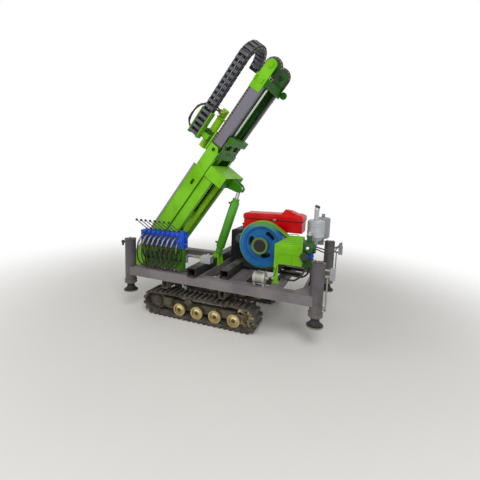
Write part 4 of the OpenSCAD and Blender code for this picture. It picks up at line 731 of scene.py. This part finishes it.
def make_chain_details():
    """Bars across the energy chain's outer and inner sides, link plates and pins, and its four hoses."""
    x, y, radius, low, top = -438, -20, 180, 1385, 2282
    half, first, pitch, straight, bent, bent_deg = 52, 31, 60, 15, 10, 18
    places = [shifted(x, y - radius, low + first + k * pitch) for k in range(straight)]
    for k in range(bent):
        turn = Matrix.Rotation(math.radians(-bent_deg * (k + 0.5)), 4, "X")
        places.append(shifted(x, y, top) @ turn @ shifted(0, -radius, 0))
    bar = block("bar", (-half - 1, -33, -15), (half + 1, -23, 15), 3, 2)
    dress(repeated("chain_bars_outer", bar, on_mast(places)), "inner_mast", "chain_nylon")
    bar = block("bar", (-half - 1, 23, -14), (half + 1, 31.5, 14), 3, 2)
    dress(repeated("chain_bars_inner", bar, on_mast(places)), "inner_mast", "chain_nylon")
    plates = []
    for low_x, high_x in ((-half - 3, -half + 0.5), (half - 0.5, half + 3)):
        plate = block("plate", (low_x, -25, -27), (high_x, 25, 27), 6, 1)
        plates.append(repeated("plates", plate, on_mast(places)))
    dress(joined("chain_link_plates", plates), "inner_mast", "black_plastic")
    pin = turned("pin", [(7, -0.5), (7, 3), (5, 4.5)], 12)
    spots = [p @ facing((side * (half + 2.5), -4, 24), (side, 0, 0)) for p in places for side in (-1, 1)]
    dress(repeated("chain_pins", pin, on_mast(spots)), "inner_mast", "zinc_yellow")
    bend_angles = [math.radians(20 * k) for k in range(1, 9)]
    run = [(y - radius, z) for z in (low + 6, low + 300, low + 600, top)]
    run += [(y - radius * math.cos(a), top + radius * math.sin(a)) for a in bend_angles]
    run += [(y + radius, top - 10)]
    hoses = [tube("chain_hose", [(x + dx, *point) for point in run], 9, 3) for dx in (-28, -6, 14, 32)]
    held = joined("chain_hoses", hoses)
    held.data.transform(MAST)
    dress(held, "inner_mast", "hose_rubber")


def make_feed_chain_details():
    """Rollers between the feed chains' plates, seen as a dotted line up the mast and over the head wheels."""
    low, pitch, wheel_r, pitch_deg = 640, 32, 84.5, 22
    shaft_x, shaft_z = HEAD_SHAFT
    roller = turned("roller", [(7, -11.6), (11.2, -11.2), (11.2, 11.2), (7, 11.6)], 10)
    over_wheel = [math.radians(pitch_deg * k) for k in range(1, 9)]
    places = []
    for y in (-FEED_CHAIN_Y, FEED_CHAIN_Y):
        places += [facing((shaft_x - wheel_r, y, z), BACK) for z in range(low, shaft_z, pitch)]
        places += [facing((shaft_x + wheel_r * math.cos(a), y, shaft_z + wheel_r * math.sin(a)), BACK)
                   for a in over_wheel]
    dress(repeated("feed_chain_rollers", roller, on_mast(places)), "inner_mast", "chain_rollers")


def make_mast_details():
    """Bolts, shaft ends and port nuts on the mast's head, its cross block, the carriage and the trough."""
    shaft_x, shaft_z = HEAD_SHAFT
    bolt = hex_bolt("mast_bolt", 17, 9)
    places = [facing((x, s * MAST_FLANK, z), (0, s, 0))
              for s in (-1, 1) for x in (-190, -110) for z in (2205, 2235)]
    dress(repeated("head_bolts", bolt, on_mast(places)), "inner_mast", "head_green")
    boss = turned("shaft_end", [(24, -0.5), (24, 4), (14, 5), (14, 12), (11, 14)], 20)
    places = [facing((shaft_x, s * HEAD_CHEEK, shaft_z), (0, s, 0)) for s in (-1, 1)]
    dress(repeated("shaft_ends", boss, on_mast(places)), "inner_mast", "head_green")
    # Low heads, because taller ones meet the tilt frame where the mast has slid down
    screw = turned("collar_screw", [(9, -0.5), (9, 1), (7, 3), (3, 3.8)], 16)
    places = [facing((COLLAR_REAR, y, z), ENGINE_END) for y in (-195, -40, 40, 195) for z in (1420, 1500)]
    dress(repeated("collar_bolts", screw, on_mast(places)), "outer_mast", "rusty")
    bolt = hex_bolt("plate_bolt", 13, 7)
    places = [facing((CARRIAGE_FRONT, y, z), MAST_END)
              for y in (-160, -95, 95, 160) for z in (1365, 1450, 1540)]
    dress(repeated("carriage_bolts", bolt, on_mast(places)), "carriage", "rusty")
    bolt = hex_bolt("trough_bolt", 13, 7)
    places = [facing((x, -180, z), (s, 0, 0)) for x, s in TROUGH_SIDES for z in (1420, 1540, 1660)]
    places += [facing((GEARBOX_TOP[0] + dx, dy, GEARBOX_TOP[1]), UP) for dx, dy in around(46, 4)]
    dress(repeated("trough_bolts", bolt, on_mast(places)), "carriage", "rusty")
    port_x, port_y, port_z = MOTOR_PORT
    nut = turned("port_nut", [(13, -0.2), (13, 14), (10.5, 16), (10.5, 34), (9.6, 36)], 6, 20)
    places = [facing((port_x + 30 * k, port_y, port_z), FRONT) for k in (0, 1)]
    dress(repeated("motor_port_nuts", nut, on_mast(places)), "carriage", "zinc_yellow")


def make_tilt_cylinder_details():
    """Thicker wall of the barrel between its eye and its gland, with the two ports."""
    wall = TILT_WALL
    shell = turned("barrel_wall", [(38.3, 0), (46, 3), (wall, 8), (wall, 548), (46, 553), (38.3, 556)], 32)
    places = [facing(TILT_EYE + 110 * TILT_AIM, TILT_AIM)]
    # The barrel's darker green is painted shade
    dress(repeated("tilt_barrel_wall", shell, places), "tilt_barrel", "cylinder_green")
    port = turned("port", [(13, -3), (13, 10), (10, 12), (10, 24), (8, 26)], 6, 20)
    upper_side = Vector((-TILT_AIM.z, 0, TILT_AIM.x))
    places = [facing(TILT_EYE + along * TILT_AIM + upper_side * wall, upper_side) for along in (150, 630)]
    dress(repeated("tilt_barrel_ports", port, places), "tilt_barrel", "ferrule_zinc")


def make_tank_details():
    """Clasp, rolled seam and filler cap of the fuel tank, and what is on the air cleaner beside it."""
    clasp = joined("tank_clasp", [block("plate", (449, -24, 1058), (481, TANK_FRONT - 0.5, 1082), 2),
                                  turned("dot", [(7, 0), (7, 5), (5, 6.5)], 12)])
    dress(clasp, "chassis", "chrome")
    low, high = TANK_SEAM
    sides = [((118, -23), (767, TANK_FRONT)), ((118, 208), (767, 213)),
             ((117, -23), (122, 213)), ((763, -23), (768, 213))]
    seams = [block("seam", (*start, low), (*end, high), 1.5, 2) for start, end in sides]
    # The seam's darker red is painted shade along the tank's crease
    dress(joined("tank_seam", seams), "chassis", "seam_red")
    band = turned("seam_band", [(84.2, -4), (87.5, -3), (87.5, 3), (84.2, 4)], 40)
    places = [facing((*CLEANER, z), UP) for z in (1046, 1074)]
    dress(repeated("cleaner_bands", band, places), "chassis", "silver_paint")
    cap = turned("rain_cap", [(20, 0), (27, 3), (28, 10), (24, 20), (14, 26)], 24)
    dress(repeated("pipe_cap", cap, [facing((*CLEANER, 1226), (0.35, 0.1, 1))]), "chassis", "black_plastic")
    filler = turned("filler_cap", [(30, 0), (30, 12), (27, 16), (12, 17), (12, 22)], 20)
    dress(repeated("tank_filler", filler, [facing(FILLER, UP)]), "chassis", "tank_red")


def make_engine_details():
    """Bolts on the engine and the belt guard, the flywheel's hub, the pump's fittings and small pipes."""
    bolt = hex_bolt("engine_bolt", 13, 7)
    places = [facing((x, GUARD_FACE, z), FRONT) for x, z in ((588, 878), (806, 878), (588, 720))]
    dress(repeated("guard_bolts", bolt, places), "chassis", "green")
    bolt = hex_bolt("cover_bolt", 15, 8)
    places = [facing((HEAD_COVER_X, y, z), ENGINE_END) for y in (36, 144) for z in (664, 756, 844)]
    places += [facing((FLY[0] + dx, ROUND_COVER_Y, FLY[1] - 10 + dz), BACK) for dx, dz in around(108, 8)]
    places += [facing((x, LONG_COVER_Y, z), BACK) for x in (196, 262) for z in (584, 680, 780)]
    places += [facing((x, LOW_COVER_Y, z), BACK) for x in (442, 524) for z in (572, 694)]
    dress(repeated("engine_bolts", bolt, places), "chassis", "rusty")
    hub = [facing((FLY[0], FLY_HUB_Y, FLY[1]), FRONT)]
    rim = [(64, 40), (83, 40), (84.5, 60), (83, 62), (67, 62), (64, 60), (64, 40)]
    dress(repeated("hub_ring", turned("fly_ring", rim, 40, ring=True), hub), "flywheel", "olive_green")
    # The disc inside the hub ring is near black as painted shade
    bore = turned("hub_bore", [(65, 57), (65, 60.4), (60, 61), (42, 61), (40, 58.5)], 40)
    dress(repeated("hub_bore", bore, hub), "flywheel", "bore_dark")
    fittings = [turned("fitting", [(17, 0), (17, 16), (12, 18), (12, 34), (9, 36)], 6, 20) for _ in range(2)]
    fittings[0].data.transform(facing((PUMP_X, -320, 880), FRONT))
    fittings[1].data.transform(facing((PUMP_X, -245, 986), UP))
    dress(joined("pump_fittings", fittings), "chassis", "chrome")
    blue = turned("blue_cap", [(26, 0), (26, 16), (22, 22), (12, 24)], 20)
    dress(repeated("pump_blue_cap", blue, [facing((905, -290, 806), FRONT)]), "chassis", "valve_blue")
    steps = [(14.5, 0), (14.5, 24), (36.5, 25), (38, 30), (38, 40), (34, 46), (12, 47), (9, 44)]
    knob = repeated("pump_knob", turned("knob", steps, 28), [facing((850, -319.5, 804), FRONT)])
    dress(knob, "chassis", "black_plastic")
    union = turned("pipe_union", [(19, 0), (19, 22), (17, 24)], 6, 20)
    places = [facing((x, *PIPE_AXIS), MAST_END) for x in (-236, -262)]
    dress(repeated("pipe_unions", union, places), "chassis", "zinc_yellow")
    routes = [
        [(555, -462, 584), (580, -455, 600), (598, -400, 620), (600, -340, 690)],
        [(470, -462, 640), (466, -450, 664), (440, -400, 660), (400, -330, 600), (340, -250, 545),
         (300, -150, 512)],
        [(500, -430, 630), (530, -400, 660), (590, -330, 640), (640, -260, 560), (650, -240, 512)],
    ]
    wires = [tube("wire", route, 3, 5) for route in routes]
    dress(joined("alternator_wires", wires), "chassis", "hose_rubber")
    route = [(730, 30, 884), (720, 10, 930), (640, -10, 932), (540, -20, 900), (500, -40, 840),
             (500, -61, 800)]
    dress(tube("injector_pipe", route, 4, 5), "chassis", "chrome")
    can = turned("oil_filter", [(34, 0), (38, 6), (38, 88), (30, 96), (12, 98)], 24)
    dress(repeated("oil_filter", can, [facing((480, LOW_COVER_Y, 640), BACK)]), "chassis", "tank_red")


make_undercarriage_details()
make_jack_details()
make_bank_details()
make_chain_details()
make_feed_chain_details()
make_mast_details()
make_tilt_cylinder_details()
make_tank_details()
make_engine_details()


def make_floor():
    """Pale floor that fades into the white around it."""
    deselect()
    bpy.ops.mesh.primitive_plane_add(size=14, location=(0, 0, 0))
    floor = bpy.context.object
    floor.name = "floor"
    mat, tree, where = start_material("pale floor")
    cloud = add(tree, "TexNoise", where, scale_for(1250), 4, 0.6)
    from_middle = add(tree, "VectorMath", where, operation="LENGTH")
    gone = add(tree, "MapRange", from_middle, 1.6, 4.6, **SMOOTH)
    shade(mat, Base_Color=add(tree, "Mix", cloud, linear("e4e2de"), linear("e9e7e3"), **COLOURS),
          Roughness=0.9, Alpha=add(tree, "Math", 1.0, gone, **MINUS))
    floor.data.materials.append(mat)


def area_lamp(name, place, target, size, watts):
    """Square lamp turned towards a point."""
    data = bpy.data.lights.new(name, "AREA")
    data.size = size
    data.energy = watts
    lamp = bpy.data.objects.new(name, data)
    bpy.context.collection.objects.link(lamp)
    lamp.location = place
    lamp.rotation_euler = (Vector(target) - Vector(place)).to_track_quat("-Z", "Y").to_euler()


def make_light():
    """White surroundings, full to the camera and in reflections and dimmer as light, and two lamps."""
    world = bpy.data.worlds.new("studio")
    bpy.context.scene.world = world
    world.use_nodes = True
    tree = world.node_tree
    back = tree.nodes["Background"]
    back.inputs["Color"].default_value = (1, 1, 1, 1)
    rays = add(tree, "LightPath").node.outputs
    mirrored = add(tree, "Math", rays["Is Glossy Ray"], rays["Is Transmission Ray"], **LARGER)
    seen = add(tree, "Math", rays["Is Camera Ray"], mirrored, **LARGER)
    feed(tree, back.inputs["Strength"], add(tree, "MapRange", seen, To_Min=0.42, To_Max=1.0))
    area_lamp("key", (2.5, -4.5, 5.0), (-0.2, 0, 1.0), 3.0, 190)
    area_lamp("fill", (-4.5, -3.5, 3.5), (-0.2, 0, 1.0), 3.0, 70)


make_floor()
make_light()
bpy.context.scene.view_settings.view_transform = "Standard"
